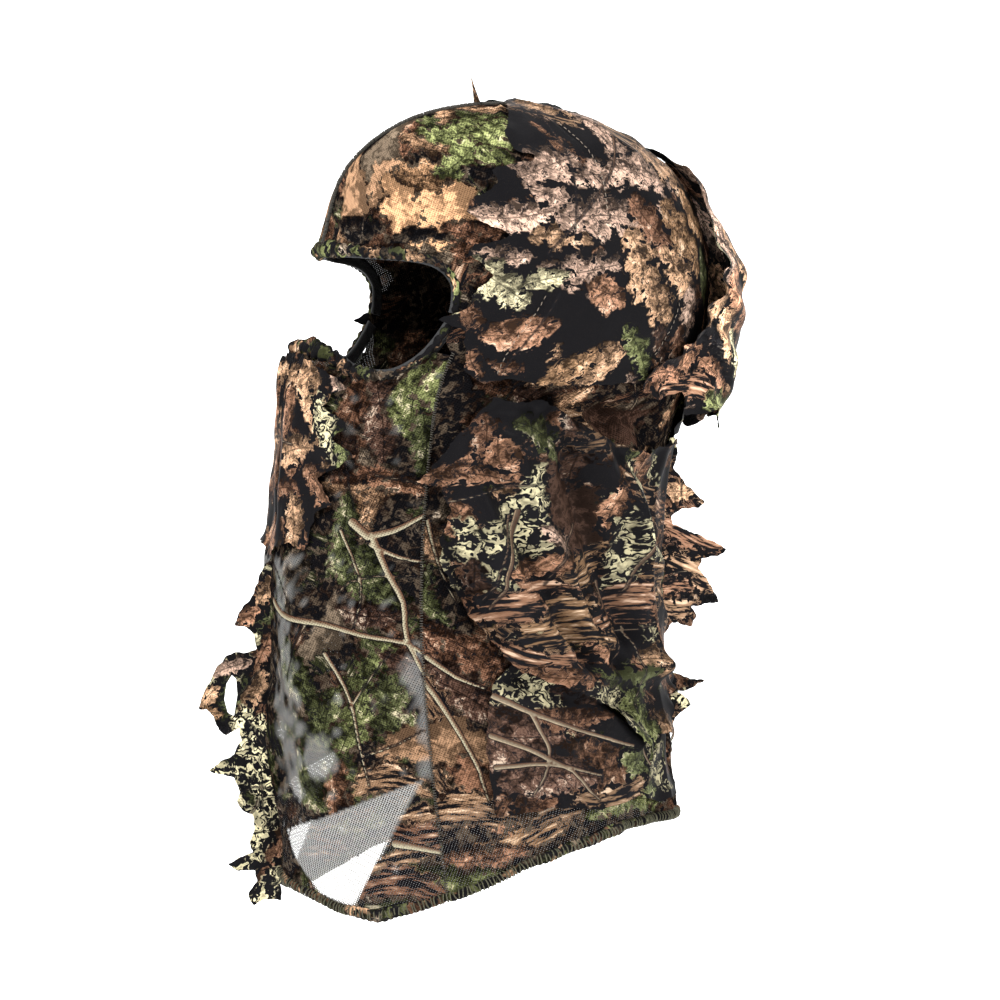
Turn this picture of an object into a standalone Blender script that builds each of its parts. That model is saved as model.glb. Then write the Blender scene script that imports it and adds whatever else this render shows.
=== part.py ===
"""A leafy camouflage hood and face mask in its worn shape: a knit hood in two halves, a knit face
veil, gathered bindings with elastic round the eye opening, overlocked hems, and leaf-cut cloth
pieces sewn on over them.

The face looks along -Y, +X is the wearer's left, +Z is up, and the origin is the inside of the
crown, where the head rests. Every place on the cloth is given by two numbers: the angle round the
hood from the face in degrees, positive on the left, and the fall in millimetres, which is how far
the cloth has come down the side from the crown. The falls are those of the standard size below
and stretch with it.
"""

import math

import bpy
from mathutils import Vector
from mathutils.geometry import delaunay_2d_cdt

# Overall sizes in metres. The three standard sizes belong to the section table.
STANDARD_WIDTH, STANDARD_DEPTH, STANDARD_HEIGHT = 0.160, 0.212, 0.405
HEAD_WIDTH = 0.160
HEAD_DEPTH = 0.212
HOOD_HEIGHT = 0.405

# Height, front, back, half width in millimetres, and how pointed the front of the section is.
SECTIONS = (
    (0.0, 0.0, 0.0, 0.0, 1.0),
    (-9.0, -50.0, 50.0, 42.0, 1.0),
    (-34.0, -83.0, 90.0, 69.0, 1.0),
    (-70.0, -96.0, 108.0, 80.0, 1.0),
    (-106.0, -102.0, 110.0, 80.0, 1.05),
    (-142.0, -119.0, 102.0, 74.5, 1.22),
    (-180.0, -123.0, 88.0, 73.5, 1.25),
    (-225.0, -126.0, 82.0, 74.0, 1.18),
    (-275.0, -128.0, 83.0, 75.5, 1.1),
    (-335.0, -126.0, 90.0, 79.0, 1.0),
    (-405.0, -120.0, 98.0, 86.0, 1.0),
    (-450.0, -116.0, 102.0, 90.0, 1.0),
)

# Thicknesses and clearances in metres.
KNIT = 0.0008
LEAF_CLOTH = 0.0008
LAYER_GAP = 0.0010
SEAM_GAP = 0.0005
VEIL_GAP = 0.0010
HEM_GAP = 0.0006
CROWN_SEAM_RADIUS = 0.0011
VEIL_SEAM_RADIUS = 0.0012
BINDING_RADIUS = 0.0030
HEM_RADIUS = 0.0021
ELASTIC_WIDTH = 0.006
ELASTIC_THICKNESS = 0.0010
THREAD_RADIUS = 0.0004
FACET = 0.0125
MM_PER_DEGREE = 1.57

# Where each layer of leaf cloth lies, measured outward from the inside of the knit.
FIRST_LAYER = KNIT + LAYER_GAP + LEAF_CLOTH / 2
SECOND_LAYER = FIRST_LAYER + LEAF_CLOTH + LAYER_GAP
FLAP_TOP_LIFT = SECOND_LAYER + 0.0025
FLAP_STAND_OFF = 0.020
FLAP_SPREAD = 36.0

# Where the moving pieces turn: a point on each axis.
FLAP_HINGE = (0.0, 0.0835, -0.0215)
NECK_HINGE = (0.008, 0.096, -0.250)
SPINE_HINGE = (0.0, 0.092, -0.250)
FRONT_HINGE = (0.0, -0.1315, -0.330)

VEIL_SEAM_ANGLE = 65.0
VEIL_SEAM_TOP = 182.0

# The two gathered edges of the eye opening from the middle of the face to the left corner.
BROW_LINE = ((0, 124.5), (15, 125.5), (30, 127), (45, 129), (53, 133), (58, 141), (59.5, 150), (60, 157.5))
NOSE_LINE = ((0, 175.5), (10, 176), (20, 179), (30, 184), (38, 190), (48, 192), (54, 188), (58, 179), (60, 165.5))

# The bottom edge from the front to the back.
HEM_LINE = (
    (0, 453), (15, 459), (30, 466), (45, 468), (60, 461), (75, 452), (90, 441),
    (105, 433), (120, 427), (135, 426), (150, 427), (180, 430),
)

# Leaf-cut outlines of the left side, as (angle, fall).
SIDE_LEAF = (
    (78, 14), (75, 50), (73, 70), (81, 78), (75, 82), (68, 87), (61, 101), (60.8, 107), (67, 113), (72, 118),
    (63, 123), (64, 131), (68, 137), (65, 146), (64, 156), (57, 162), (64, 167), (67, 176), (70, 190), (75, 196),
    (90, 196), (105, 198), (120, 195), (130, 198), (140, 192), (155, 196), (176, 190), (176, 60), (168, 30),
    (150, 14),
)
NECK_LEAF = (
    (77, 205), (74, 213), (69, 228), (67, 245), (70, 252), (72, 263), (70, 290), (78, 315), (90, 342),
    (105, 355), (117, 367), (129, 392), (139, 380), (147, 388), (153, 362), (162, 368), (174, 345),
    (174, 231), (150, 229), (135, 232), (122, 228), (112, 224), (103, 214), (87, 207),
)
SHOULDER_LEAF = (
    (81, 416), (80, 385), (84, 350), (92, 338), (104, 345), (116, 350), (130, 372), (141, 362), (152, 352),
    (152, 412), (140, 414), (127, 409), (112, 414), (98, 409),
)
BACK_FLAP = (
    (180, 84), (166, 66), (162, 84), (152, 98), (149, 120), (152, 134), (145, 150), (139, 165), (141, 174),
    (131, 180), (123, 192), (127, 203), (139, 200), (147, 209), (159, 202), (168, 211), (180, 206),
)
CHIN_PANEL = (
    (0, 184), (12, 185), (22, 189), (32, 195), (30, 205), (38, 214), (34, 222), (44, 231), (37, 239),
    (31, 246), (35, 257), (29, 268), (26, 283), (14, 278), (0, 286),
)
NAPE_LEAF = ((164, 199), (154, 209), (160, 219), (171, 214), (180, 222))

# Outlines of the strips that stand out from the hood, as (distance outward in mm, fall).
FRONT_STRIP = (
    (5.2, 294), (8, 300), (12, 311), (19, 322), (11, 326), (9, 334), (20, 337), (30, 344), (39, 360), (30, 366),
    (20, 365), (17, 380), (34, 395), (19, 400), (20, 412), (15, 420), (17, 433), (30, 444), (14, 447),
    (16, 459), (3.6, 459), (3.6, 294),
)
SPINE_STRIP = (
    (3.0, 228), (10, 229), (16, 243), (36, 260), (19, 266), (17, 273), (31, 279), (49, 289), (32, 296),
    (36, 309), (45, 322), (29, 323), (28, 333), (13, 330), (9, 340), (9, 352), (13, 358), (28, 364), (13, 367),
    (19, 375), (10, 384), (3.0, 390),
)
TONGUE = ((-4, 1.2), (-5, 5), (-3, 9), (0, 13), (4, 10), (5, 6), (4, 1.2))

STITCH_LINES = (
    ((104, 52), (106, 78), (104, 104)),
    ((84, 150), (80, 172), (79, 190)),
    ((132, 150), (130, 166), (127, 180)),
)

BLUE_BLACK = (0.015, 0.015, 0.017, 1.0)
LEAF_BROWN = (0.19, 0.115, 0.065, 1.0)
MOSS_GREEN = (0.11, 0.14, 0.05, 1.0)
KNIT_OLIVE = (0.12, 0.105, 0.065, 1.0)
BARK_TAN = (0.35, 0.22, 0.13, 1.0)
THREAD_TAN = (0.45, 0.36, 0.26, 1.0)


def clear_scene():
    for obj in list(bpy.data.objects):
        bpy.data.objects.remove(obj, do_unlink=True)


def material(name, colour, roughness):
    made = bpy.data.materials.new(name)
    made.use_nodes = True
    shader = made.node_tree.nodes["Principled BSDF"]
    shader.inputs["Base Color"].default_value = colour
    shader.inputs["Roughness"].default_value = roughness
    shader.inputs["Metallic"].default_value = 0.0
    return made


def section(level):
    """The hood's section at a level counted in rows of the table, on a smooth curve through them."""
    rows = SECTIONS
    opposite = rows[1]
    before = (opposite[0], opposite[2], opposite[1], -opposite[3], opposite[4])
    after = [2 * a - b for a, b in zip(rows[-1], rows[-2])]
    track = [before, *rows, after]
    level = min(max(level, 0.0), len(rows) - 1 - 1e-9)
    at = int(level)
    part = level - at
    found = []
    for p0, p1, p2, p3 in zip(*track[at : at + 4]):
        linear = p2 - p0
        square = 2 * p0 - 5 * p1 + 4 * p2 - p3
        cube = 3 * p1 - p0 - 3 * p2 + p3
        found.append(0.5 * (2 * p1 + linear * part + square * part**2 + cube * part**3))
    return found


def side_arc(steps_per_row=60):
    """How much cloth lies between the crown and each level, down the side of the standard size."""
    levels = [i / steps_per_row for i in range((len(SECTIONS) - 1) * steps_per_row + 1)]
    falls = [0.0]
    for low, high in zip(levels, levels[1:]):
        a, b = section(low), section(high)
        step = math.dist((a[3], (a[1] + a[2]) / 2, a[0]), (b[3], (b[1] + b[2]) / 2, b[0]))
        falls.append(falls[-1] + step)
    return levels, falls


LEVELS, FALLS = side_arc()


def level_at(fall):
    for i in range(1, len(FALLS)):
        if FALLS[i] >= fall:
            share = (fall - FALLS[i - 1]) / (FALLS[i] - FALLS[i - 1])
            return LEVELS[i - 1] + share * (LEVELS[i] - LEVELS[i - 1])
    return LEVELS[-1]


def bare_point(angle, level):
    height, front, back, half, ridge = section(level)
    across, along = math.sin(math.radians(angle)), math.cos(math.radians(angle))
    power = ridge if along > 0 else 1.0
    x = math.copysign(half * abs(across) ** power, across)
    y = (front + back) / 2 - (back - front) / 2 * along
    wide = HEAD_WIDTH / STANDARD_WIDTH
    deep = HEAD_DEPTH / STANDARD_DEPTH
    tall = HOOD_HEIGHT / STANDARD_HEIGHT
    return Vector((x * wide, y * deep, height * tall)) / 1000


def cloth_point(angle, fall, lift=0.0):
    """A point of the hood, lifted off the inside of the knit."""
    level = max(level_at(fall), 0.02)
    around = bare_point(angle + 0.5, level) - bare_point(angle - 0.5, level)
    down = bare_point(angle, level + 0.01) - bare_point(angle, level - 0.01)
    outward = down.cross(around).normalized()
    return bare_point(angle, level) + outward * lift


def follow(points, step):
    """A smooth line through the points, cut into short pieces."""
    made = []
    track = [points[0], *points, points[-1]]
    for p0, p1, p2, p3 in zip(track, track[1:], track[2:], track[3:]):
        length = math.hypot((p2[0] - p1[0]) * MM_PER_DEGREE, p2[1] - p1[1]) / 1000
        count = max(1, round(length / step))
        for i in range(count):
            t = i / count
            made.append(
                tuple(
                    0.5 * (2 * b + (c - a) * t + (2 * a - 5 * b + 4 * c - d) * t * t + (3 * b - a - 3 * c + d) * t**3)
                    for a, b, c, d in zip(p0, p1, p2, p3)
                )
            )
    made.append(points[-1])
    return made


def shifted(line, distance):
    """The line moved sideways over the cloth, to the left of its direction when positive."""
    degree = MM_PER_DEGREE * min(HEAD_WIDTH / STANDARD_WIDTH, HEAD_DEPTH / STANDARD_DEPTH) / 1000
    down = HOOD_HEIGHT / STANDARD_HEIGHT / 1000
    made = []
    for i, (angle, fall) in enumerate(line):
        a, b = line[max(i - 1, 0)], line[min(i + 1, len(line) - 1)]
        along = Vector(((b[0] - a[0]) * degree, (b[1] - a[1]) * down)).normalized()
        made.append((angle - along.y * distance / degree, fall + along.x * distance / down))
    return made


def above_hem(angle):
    """Where a knit sheet ends over the bottom hem, clear of it at every height."""
    clearance = (HEM_RADIUS + HEM_GAP) * 1000 * STANDARD_HEIGHT / HOOD_HEIGHT
    return hem_fall(angle) - clearance


def hem_fall(angle):
    around = abs(angle)
    for (a, low), (b, high) in zip(HEM_LINE, HEM_LINE[1:]):
        if around <= b:
            return low + (high - low) * (around - a) / (b - a)
    return HEM_LINE[-1][1]


def mirrored(line):
    return [(-angle, fall) for angle, fall in line]


def both_sides(line, middle=0):
    """The line from the far left to the far right, for a line given from the middle to the left."""
    return [*reversed(line), *[(2 * middle - angle, fall) for angle, fall in line[1:]]]


def inside(x, y, loop):
    within = False
    for (ax, ay), (bx, by) in zip(loop, loop[1:] + loop[:1]):
        if (ay > y) != (by > y) and x < (bx - ax) * (y - ay) / (by - ay) + ax:
            within = not within
    return within


def clear_of(x, y, loop, distance):
    return all(math.hypot(x - a, y - b) > distance for a, b in loop)


def fill(outline, unit):
    """Points and faces that fill a flat outline, with a lattice of points inside it."""
    step = FACET * 1000
    loop = []
    for (ax, ay), (bx, by) in zip(outline, outline[1:] + outline[:1]):
        ax, bx = ax * unit, bx * unit
        count = max(1, round(math.hypot(bx - ax, by - ay) / step))
        loop += [(ax + (bx - ax) * i / count, ay + (by - ay) * i / count) for i in range(count)]
    lattice = []
    low_x, high_x = min(p[0] for p in loop), max(p[0] for p in loop)
    low_y, high_y = min(p[1] for p in loop), max(p[1] for p in loop)
    for i in range(math.floor(low_x / step), math.ceil(high_x / step) + 1):
        for j in range(math.floor(low_y / step), math.ceil(high_y / step) + 1):
            if inside(i * step, j * step, loop) and clear_of(i * step, j * step, loop, step * 0.45):
                lattice.append((i * step, j * step))
    points = [Vector(p) for p in loop + lattice]
    edges = [(i, (i + 1) % len(loop)) for i in range(len(loop))]
    points, _, faces, *_ = delaunay_2d_cdt(points, edges, [], 1, 1e-5)
    return [(p.x / unit, p.y) for p in points], faces


def keep(obj, look):
    obj.data.materials.append(look)
    PIECES.objects.link(obj)
    return obj


def sized(place):
    """A place of the standard size, moved with the overall sizes."""
    x, y, z = place
    return Vector(
        (x * HEAD_WIDTH / STANDARD_WIDTH, y * HEAD_DEPTH / STANDARD_DEPTH, z * HOOD_HEIGHT / STANDARD_HEIGHT)
    )


def sheet_of(name, points, faces, thickness, look, hinge=(0.0, 0.0, 0.0)):
    """A solid cloth piece from an open surface in its middle, with its origin on the axis it turns about."""
    origin = sized(hinge)
    mesh = bpy.data.meshes.new(name)
    mesh.from_pydata([tuple(p - origin) for p in points], [], [tuple(f) for f in faces])
    mesh.validate()
    obj = keep(bpy.data.objects.new(name, mesh), look)
    obj.location = origin
    solid = obj.modifiers.new("thickness", "SOLIDIFY")
    solid.thickness = thickness
    solid.offset = 0.0
    return obj


def patch(name, outline, lift, thickness, look, hinge=(0.0, 0.0, 0.0)):
    """A cloth piece cut to an outline and laid on the hood. The lift is a size, or a function of place."""
    places, faces = fill(list(outline), MM_PER_DEGREE)
    height = lift if callable(lift) else lambda angle, fall: lift
    points = [cloth_point(angle, fall, height(angle, fall)) for angle, fall in places]
    return sheet_of(name, points, faces, thickness, look, hinge)


def standing_strip(name, outline, angle, look, hinge):
    """A cloth piece that stands out from the hood in its middle plane."""
    places, faces = fill(list(outline), 1.0)
    points = [cloth_point(angle, fall, out / 1000) for out, fall in places]
    return sheet_of(name, points, faces, LEAF_CLOTH, look, hinge)


def rod(name, points, radius, look, closed=False):
    curve = bpy.data.curves.new(name, "CURVE")
    curve.dimensions = "3D"
    curve.bevel_depth = radius
    curve.bevel_resolution = 1
    curve.use_fill_caps = not closed
    spline = curve.splines.new("POLY")
    spline.points.add(len(points) - 1)
    for made, point in zip(spline.points, points):
        made.co = (*point, 1.0)
    spline.use_cyclic_u = closed
    return keep(bpy.data.objects.new(name, curve), look)


def ribbon(name, line, lift, width, thickness, look):
    """A narrow band that follows a line on the cloth and lies flat against it."""
    left, right = shifted(line, width / 2), shifted(line, -width / 2)
    points = [cloth_point(*place, lift) for place in left] + [cloth_point(*place, lift) for place in right]
    count = len(line)
    faces = [(i, i + 1, count + i + 1, count + i) for i in range(count - 1)]
    return sheet_of(name, points, faces, thickness, look)


def edge_near_middle(falls, start_angle):
    """The cloth's edge beside the crown seam, at a constant distance from the middle plane."""
    distance = CROWN_SEAM_RADIUS + SEAM_GAP
    made = []
    for fall in falls:
        half = section(level_at(fall))[3] * HEAD_WIDTH / STANDARD_WIDTH / 1000
        away = math.degrees(math.asin(min(1.0, distance / half)))
        made.append((abs(start_angle - away), fall))
    return made


def build_hood(side, look):
    """One half of the knit hood: the crown, the back and the side behind the face."""
    brow = shifted(follow(BROW_LINE, FACET), -(BINDING_RADIUS + SEAM_GAP))
    brow = [(max(angle, 2.0), fall) for angle, fall in brow]
    corner = shifted(follow(NOSE_LINE, FACET / 2), -(BINDING_RADIUS + SEAM_GAP))
    seam_angle = VEIL_SEAM_ANGLE + (VEIL_SEAM_RADIUS + VEIL_GAP) * 1000 / MM_PER_DEGREE
    behind = [(angle, fall) for angle, fall in reversed(corner) if 165.0 < fall < VEIL_SEAM_TOP and angle > 57]
    behind = [(max(angle, brow[-1][0] + 0.2), fall) for angle, fall in behind]
    bottom = [(angle, above_hem(angle)) for angle in range(75, 170, 10)]
    down = [(seam_angle, VEIL_SEAM_TOP), (seam_angle, above_hem(seam_angle))]
    back = edge_near_middle(range(426, 2, -12), 180.0)
    front = edge_near_middle(range(6, 118, 12), 0.0)
    outline = brow + behind + down + bottom + back + front
    if side == "right":
        outline = mirrored(outline)
    patch(f"hood_{side}", outline, KNIT / 2, KNIT, look)


def build_veil(look):
    top = both_sides(shifted(follow(NOSE_LINE[:-1], FACET), BINDING_RADIUS + SEAM_GAP))
    edge = VEIL_SEAM_ANGLE - (VEIL_SEAM_RADIUS + VEIL_GAP) * 1000 / MM_PER_DEGREE
    top = [(angle, fall) for angle, fall in top if abs(angle) < edge - 1.5]
    bottom = [(angle, above_hem(angle)) for angle in range(-60, 61, 10)]
    right = [(-edge, top[-1][1]), (-edge, above_hem(edge))]
    left = [(edge, above_hem(edge)), (edge, top[0][1])]
    patch("face_veil", top + right + bottom + left, KNIT / 2, KNIT, look)


def build_edges(binding, elastic, hem):
    """The gathered edges of the eye opening with their elastics, and the two hems."""
    for name, line in (("brow", BROW_LINE), ("nose", NOSE_LINE)):
        places = both_sides(follow(line, FACET * 0.6))
        middle = KNIT / 2
        rod(f"{name}_binding", [cloth_point(*place, middle) for place in places], BINDING_RADIUS, binding)
        depth = middle - BINDING_RADIUS - SEAM_GAP - ELASTIC_THICKNESS
        ribbon(f"{name}_elastic", places, depth, ELASTIC_WIDTH, ELASTIC_THICKNESS, elastic)
    edge = VEIL_SEAM_ANGLE
    around = [edge + 2.2 + i * (360 - 2 * edge - 4.4) / 40 for i in range(41)]
    hood_hem = [cloth_point(a, hem_fall(a if a < 180 else 360 - a), KNIT / 2) for a in around]
    rod("hood_hem", hood_hem, HEM_RADIUS, hem)
    around = [-edge + 2.2 + i * (2 * edge - 4.4) / 24 for i in range(25)]
    rod("veil_hem", [cloth_point(a, hem_fall(a), KNIT / 2) for a in around], HEM_RADIUS, hem)


def build_seams(look):
    """The crown seam runs from the brow over the crown to the nape, and a seam each side joins the veil."""
    over = [(0, fall) for fall in range(119, 0, -6)] + [(180, fall) for fall in range(1, 427, 8)]
    rod("crown_seam", [cloth_point(*place, CROWN_SEAM_RADIUS) for place in over], CROWN_SEAM_RADIUS, look)
    for side, sign in (("left", 1), ("right", -1)):
        bottom = hem_fall(VEIL_SEAM_ANGLE) - HEM_RADIUS * 1000 - 3.0
        falls = [VEIL_SEAM_TOP + i * (bottom - VEIL_SEAM_TOP) / 26 for i in range(27)]
        points = [cloth_point(sign * VEIL_SEAM_ANGLE, fall, KNIT / 2) for fall in falls]
        rod(f"veil_seam_{side}", points, VEIL_SEAM_RADIUS, look)


def flap_lift(angle, fall):
    """The back flap leaves the head below its top edge: the side edges stay close and the middle hangs off."""
    low, high = BACK_FLAP[0][1] - 6, 150.0
    share = min(max((fall - low) / (high - low), 0.0), 1.0)
    middle = math.cos(math.radians(90 * min(abs(angle - 180) / FLAP_SPREAD, 1.0)))
    return FLAP_TOP_LIFT + FLAP_STAND_OFF * share * (0.1 + 0.9 * middle)


def neck_lift(angle, fall):
    """The neck pieces lie closest along their back seam and stand a little off toward the front edge."""
    share = min(max((174 - abs(angle)) / 100, 0.0), 1.0)
    return SECOND_LAYER + 0.003 * share


def build_leaves(leaf, bark, green, thread):
    for side, sign in (("left", 1), ("right", -1)):
        turn = list if sign > 0 else mirrored
        patch(f"side_leaf_{side}", turn(SIDE_LEAF), FIRST_LAYER, LEAF_CLOTH, leaf)
        patch(f"shoulder_leaf_{side}", turn(SHOULDER_LEAF), FIRST_LAYER, LEAF_CLOTH, bark)
        hinge = (sign * NECK_HINGE[0], *NECK_HINGE[1:])
        patch(f"neck_leaf_{side}", turn(NECK_LEAF), neck_lift, LEAF_CLOTH, bark, hinge)
        for number, line in enumerate(STITCH_LINES, 1):
            lift = FIRST_LAYER + LEAF_CLOTH / 2 + THREAD_RADIUS + SEAM_GAP
            points = [cloth_point(*place, lift) for place in follow(turn(line), FACET)]
            rod(f"stitching_{side}_{number}", points, THREAD_RADIUS, thread)
    patch("back_flap", both_sides(BACK_FLAP, 180)[:-1], flap_lift, LEAF_CLOTH, leaf, FLAP_HINGE)
    patch("nape_leaf", both_sides(list(reversed(NAPE_LEAF)), 180)[:-1], SECOND_LAYER, LEAF_CLOTH, green)
    patch("chin_panel", both_sides(CHIN_PANEL)[:-1], FIRST_LAYER, LEAF_CLOTH, leaf)
    standing_strip("front_strip", FRONT_STRIP, 0, bark, FRONT_HINGE)
    standing_strip("spine_strip", SPINE_STRIP, 180, bark, SPINE_HINGE)


def build_tongue(look):
    """A narrow tongue of cloth knotted on top of the crown that stands up and leans forward."""
    root = cloth_point(0, 12, 2 * CROWN_SEAM_RADIUS + SEAM_GAP)
    places, faces = fill(list(TONGUE), 1.0)
    lean = 0.35
    points = [root + Vector((across, -up * lean, up)) / 1000 for across, up in places]
    sheet_of("crown_tongue", points, faces, LEAF_CLOTH, look)


clear_scene()
PIECES = bpy.data.collections.new("camo_face_mask")
bpy.context.scene.collection.children.link(PIECES)
knit = material("printed_knit", KNIT_OLIVE, 0.85)
leaf_cloth = material("leaf_cloth", LEAF_BROWN, 0.55)
bark_cloth = material("bark_cloth", BARK_TAN, 0.55)
green_cloth = material("green_cloth", MOSS_GREEN, 0.6)
edge_knit = material("edge_knit", MOSS_GREEN, 0.9)
black_elastic = material("black_elastic", BLUE_BLACK, 0.7)
tan_thread = material("tan_thread", THREAD_TAN, 0.6)

build_hood("left", knit)
build_hood("right", knit)
build_veil(knit)
build_edges(edge_knit, black_elastic, edge_knit)
build_seams(edge_knit)
build_leaves(leaf_cloth, bark_cloth, green_cloth, tan_thread)
build_tongue(bark_cloth)
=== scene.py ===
"""The looks of the leafy camouflage hood: printed knit with its net holes, leaf-cut satin cloth with
curled edges, gathered edges with elastic, overlocked hems and their stitches.

Places on the cloth are an angle round the hood in degrees and a fall in millimetres of cloth below
the crown, as in the solids. Each piece is also drawn in a flat chart of its own, in millimetres.
"""

import math

import bpy
import numpy as np
from mathutils import Matrix, Vector
from mathutils.geometry import delaunay_2d_cdt


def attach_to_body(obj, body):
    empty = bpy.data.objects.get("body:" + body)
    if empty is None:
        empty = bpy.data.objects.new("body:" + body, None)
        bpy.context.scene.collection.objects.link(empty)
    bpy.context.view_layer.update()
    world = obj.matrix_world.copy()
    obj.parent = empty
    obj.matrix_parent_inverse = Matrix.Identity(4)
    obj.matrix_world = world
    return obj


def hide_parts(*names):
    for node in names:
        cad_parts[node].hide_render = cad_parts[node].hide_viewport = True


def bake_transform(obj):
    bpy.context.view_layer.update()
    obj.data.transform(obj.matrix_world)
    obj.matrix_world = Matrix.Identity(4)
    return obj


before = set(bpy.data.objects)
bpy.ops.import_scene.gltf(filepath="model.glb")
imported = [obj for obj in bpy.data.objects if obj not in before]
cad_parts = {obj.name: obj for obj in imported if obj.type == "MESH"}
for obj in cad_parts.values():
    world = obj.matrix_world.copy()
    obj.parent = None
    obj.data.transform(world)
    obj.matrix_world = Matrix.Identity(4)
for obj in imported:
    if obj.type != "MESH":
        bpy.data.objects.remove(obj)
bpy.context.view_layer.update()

# Height, front, back, half width in millimetres, and how pointed the front of the section is.
SECTIONS = np.array((
    (0.0, 0.0, 0.0, 0.0, 1.0),
    (-9.0, -50.0, 50.0, 42.0, 1.0),
    (-34.0, -83.0, 90.0, 69.0, 1.0),
    (-70.0, -96.0, 108.0, 80.0, 1.0),
    (-106.0, -102.0, 110.0, 80.0, 1.05),
    (-142.0, -119.0, 102.0, 74.5, 1.22),
    (-180.0, -123.0, 88.0, 73.5, 1.25),
    (-225.0, -126.0, 82.0, 74.0, 1.18),
    (-275.0, -128.0, 83.0, 75.5, 1.1),
    (-335.0, -126.0, 90.0, 79.0, 1.0),
    (-405.0, -120.0, 98.0, 86.0, 1.0),
    (-450.0, -116.0, 102.0, 90.0, 1.0),
))
BEFORE = np.array([SECTIONS[1, 0], SECTIONS[1, 2], SECTIONS[1, 1], -SECTIONS[1, 3], SECTIONS[1, 4]])
TRACK = np.vstack([BEFORE, SECTIONS, 2 * SECTIONS[-1] - SECTIONS[-2]])

# Cloth round the hood for one degree, in millimetres.
MM_PER_DEGREE = 1.57
# Lifts off the inside of the knit, in millimetres.
KNIT_LIFT, LEAF_LIFT, TOP_LIFT, FLAP_LIFT, FLAP_STAND = 0.6, 2.4, 4.4, 6.0, 20.0

BROW_LINE = ((0, 124.5), (15, 125.5), (30, 127), (45, 129), (53, 133), (58, 141), (59.5, 150), (60, 158.5))
NOSE_LINE = ((0, 175.5), (10, 176), (20, 179), (30, 184), (38, 190), (48, 192), (54, 188), (58, 179), (60, 164))
HEM_LINE = (
    (0, 453), (15, 459), (30, 466), (45, 468), (60, 461), (75, 452), (90, 441),
    (105, 433), (120, 427), (135, 426), (150, 427), (180, 430),
)
VEIL_SEAM = 65.0

# Colours of the print, as linear red, green and blue.
PALETTE = {
    "pink": (0.33, 0.225, 0.165), "tan": (0.31, 0.19, 0.10), "rust": (0.225, 0.118, 0.060),
    "brown": (0.16, 0.082, 0.042), "dbrown": (0.075, 0.043, 0.029), "green": (0.165, 0.178, 0.070),
    "moss": (0.085, 0.092, 0.040), "pale": (0.42, 0.38, 0.235), "lichen": (0.28, 0.165, 0.075),
    "grey": (0.13, 0.10, 0.070), "dark": (0.0150, 0.0145, 0.0165), "twig": (0.34, 0.31, 0.22),
    "cream": (0.62, 0.52, 0.40),
}


# ---------------------------------------------------------------- the hood's surface

def spline(a, b, c, d, t):
    """A smooth curve's value between b and c, where a and d are the values before and after them."""
    return 0.5 * (2 * b + (c - a) * t + (2 * a - 5 * b + 4 * c - d) * t**2 + (3 * b - a - 3 * c + d) * t**3)


def sections(level):
    """The hood's section at each level, which counts the rows of SECTIONS."""
    level = np.clip(np.asarray(level, float), 0, len(SECTIONS) - 1 - 1e-9)
    at = level.astype(int)
    t = (level - at)[..., None]
    return spline(TRACK[at], TRACK[at + 1], TRACK[at + 2], TRACK[at + 3], t)


def bare(angle, level):
    """Points in millimetres on the smooth hood."""
    s = sections(level)
    turn = np.radians(angle)
    across, along = np.sin(turn), np.cos(turn)
    power = np.where(along > 0, s[..., 4], 1.0)
    x = s[..., 3] * np.sign(across) * np.abs(across) ** power
    y = (s[..., 1] + s[..., 2]) / 2 - (s[..., 2] - s[..., 1]) / 2 * along
    return np.stack([x, y, s[..., 0] + 0 * x], -1)


LEVELS = np.linspace(0, len(SECTIONS) - 1, 1101)
SIDE = bare(np.full(len(LEVELS), 90.0), LEVELS)
FALLS = np.concatenate([[0], np.cumsum(np.linalg.norm(np.diff(SIDE, axis=0), axis=1))])


def level_at(fall):
    return np.interp(fall, FALLS, LEVELS)


def radius_at(fall):
    s = sections(level_at(fall))
    return np.sqrt((s[..., 3] ** 2 + ((s[..., 2] - s[..., 1]) / 2) ** 2) / 2) + 0.05


def outward_at(angle, fall):
    level = np.maximum(level_at(fall), 0.03)
    around = bare(angle + 0.5, level) - bare(angle - 0.5, level)
    down = bare(angle, level + 0.02) - bare(angle, level - 0.02)
    n = np.cross(down, around)
    return n / (np.linalg.norm(n, axis=-1, keepdims=True) + 1e-9)


def on_hood(angle, fall, lift):
    """Points in metres at places on the hood, lifted outward by millimetres."""
    angle, fall = np.asarray(angle, float), np.asarray(fall, float)
    return (bare(angle, level_at(fall)) + outward_at(angle, fall) * np.asarray(lift)[..., None]) / 1000


def hem_fall(angle):
    around = np.abs((np.asarray(angle, float) + 180) % 360 - 180)
    return np.interp(around, *zip(*HEM_LINE))


def to_flat(angle, fall, middle):
    """The flat chart of a piece whose middle lies at an angle, in millimetres."""
    return np.radians(np.asarray(angle, float) - middle) * radius_at(fall), np.asarray(fall, float)


def from_flat(u, v, middle):
    return middle + np.degrees(u / radius_at(v)), v


# ---------------------------------------------------------------- waves, folds and outlines

def waves(x, y, length, seed, count=6):
    """A smooth random field from -1 to 1 whose bumps are about one length across."""
    rng = np.random.default_rng(seed)
    total = 0
    for _ in range(count):
        turn, phase = rng.uniform(0, 2 * np.pi, 2)
        k = 2 * np.pi / (length * rng.uniform(0.75, 1.5))
        total = total + np.sin(k * (x * np.cos(turn) + y * np.sin(turn)) + phase)
    return total / (count * 0.55)


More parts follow.
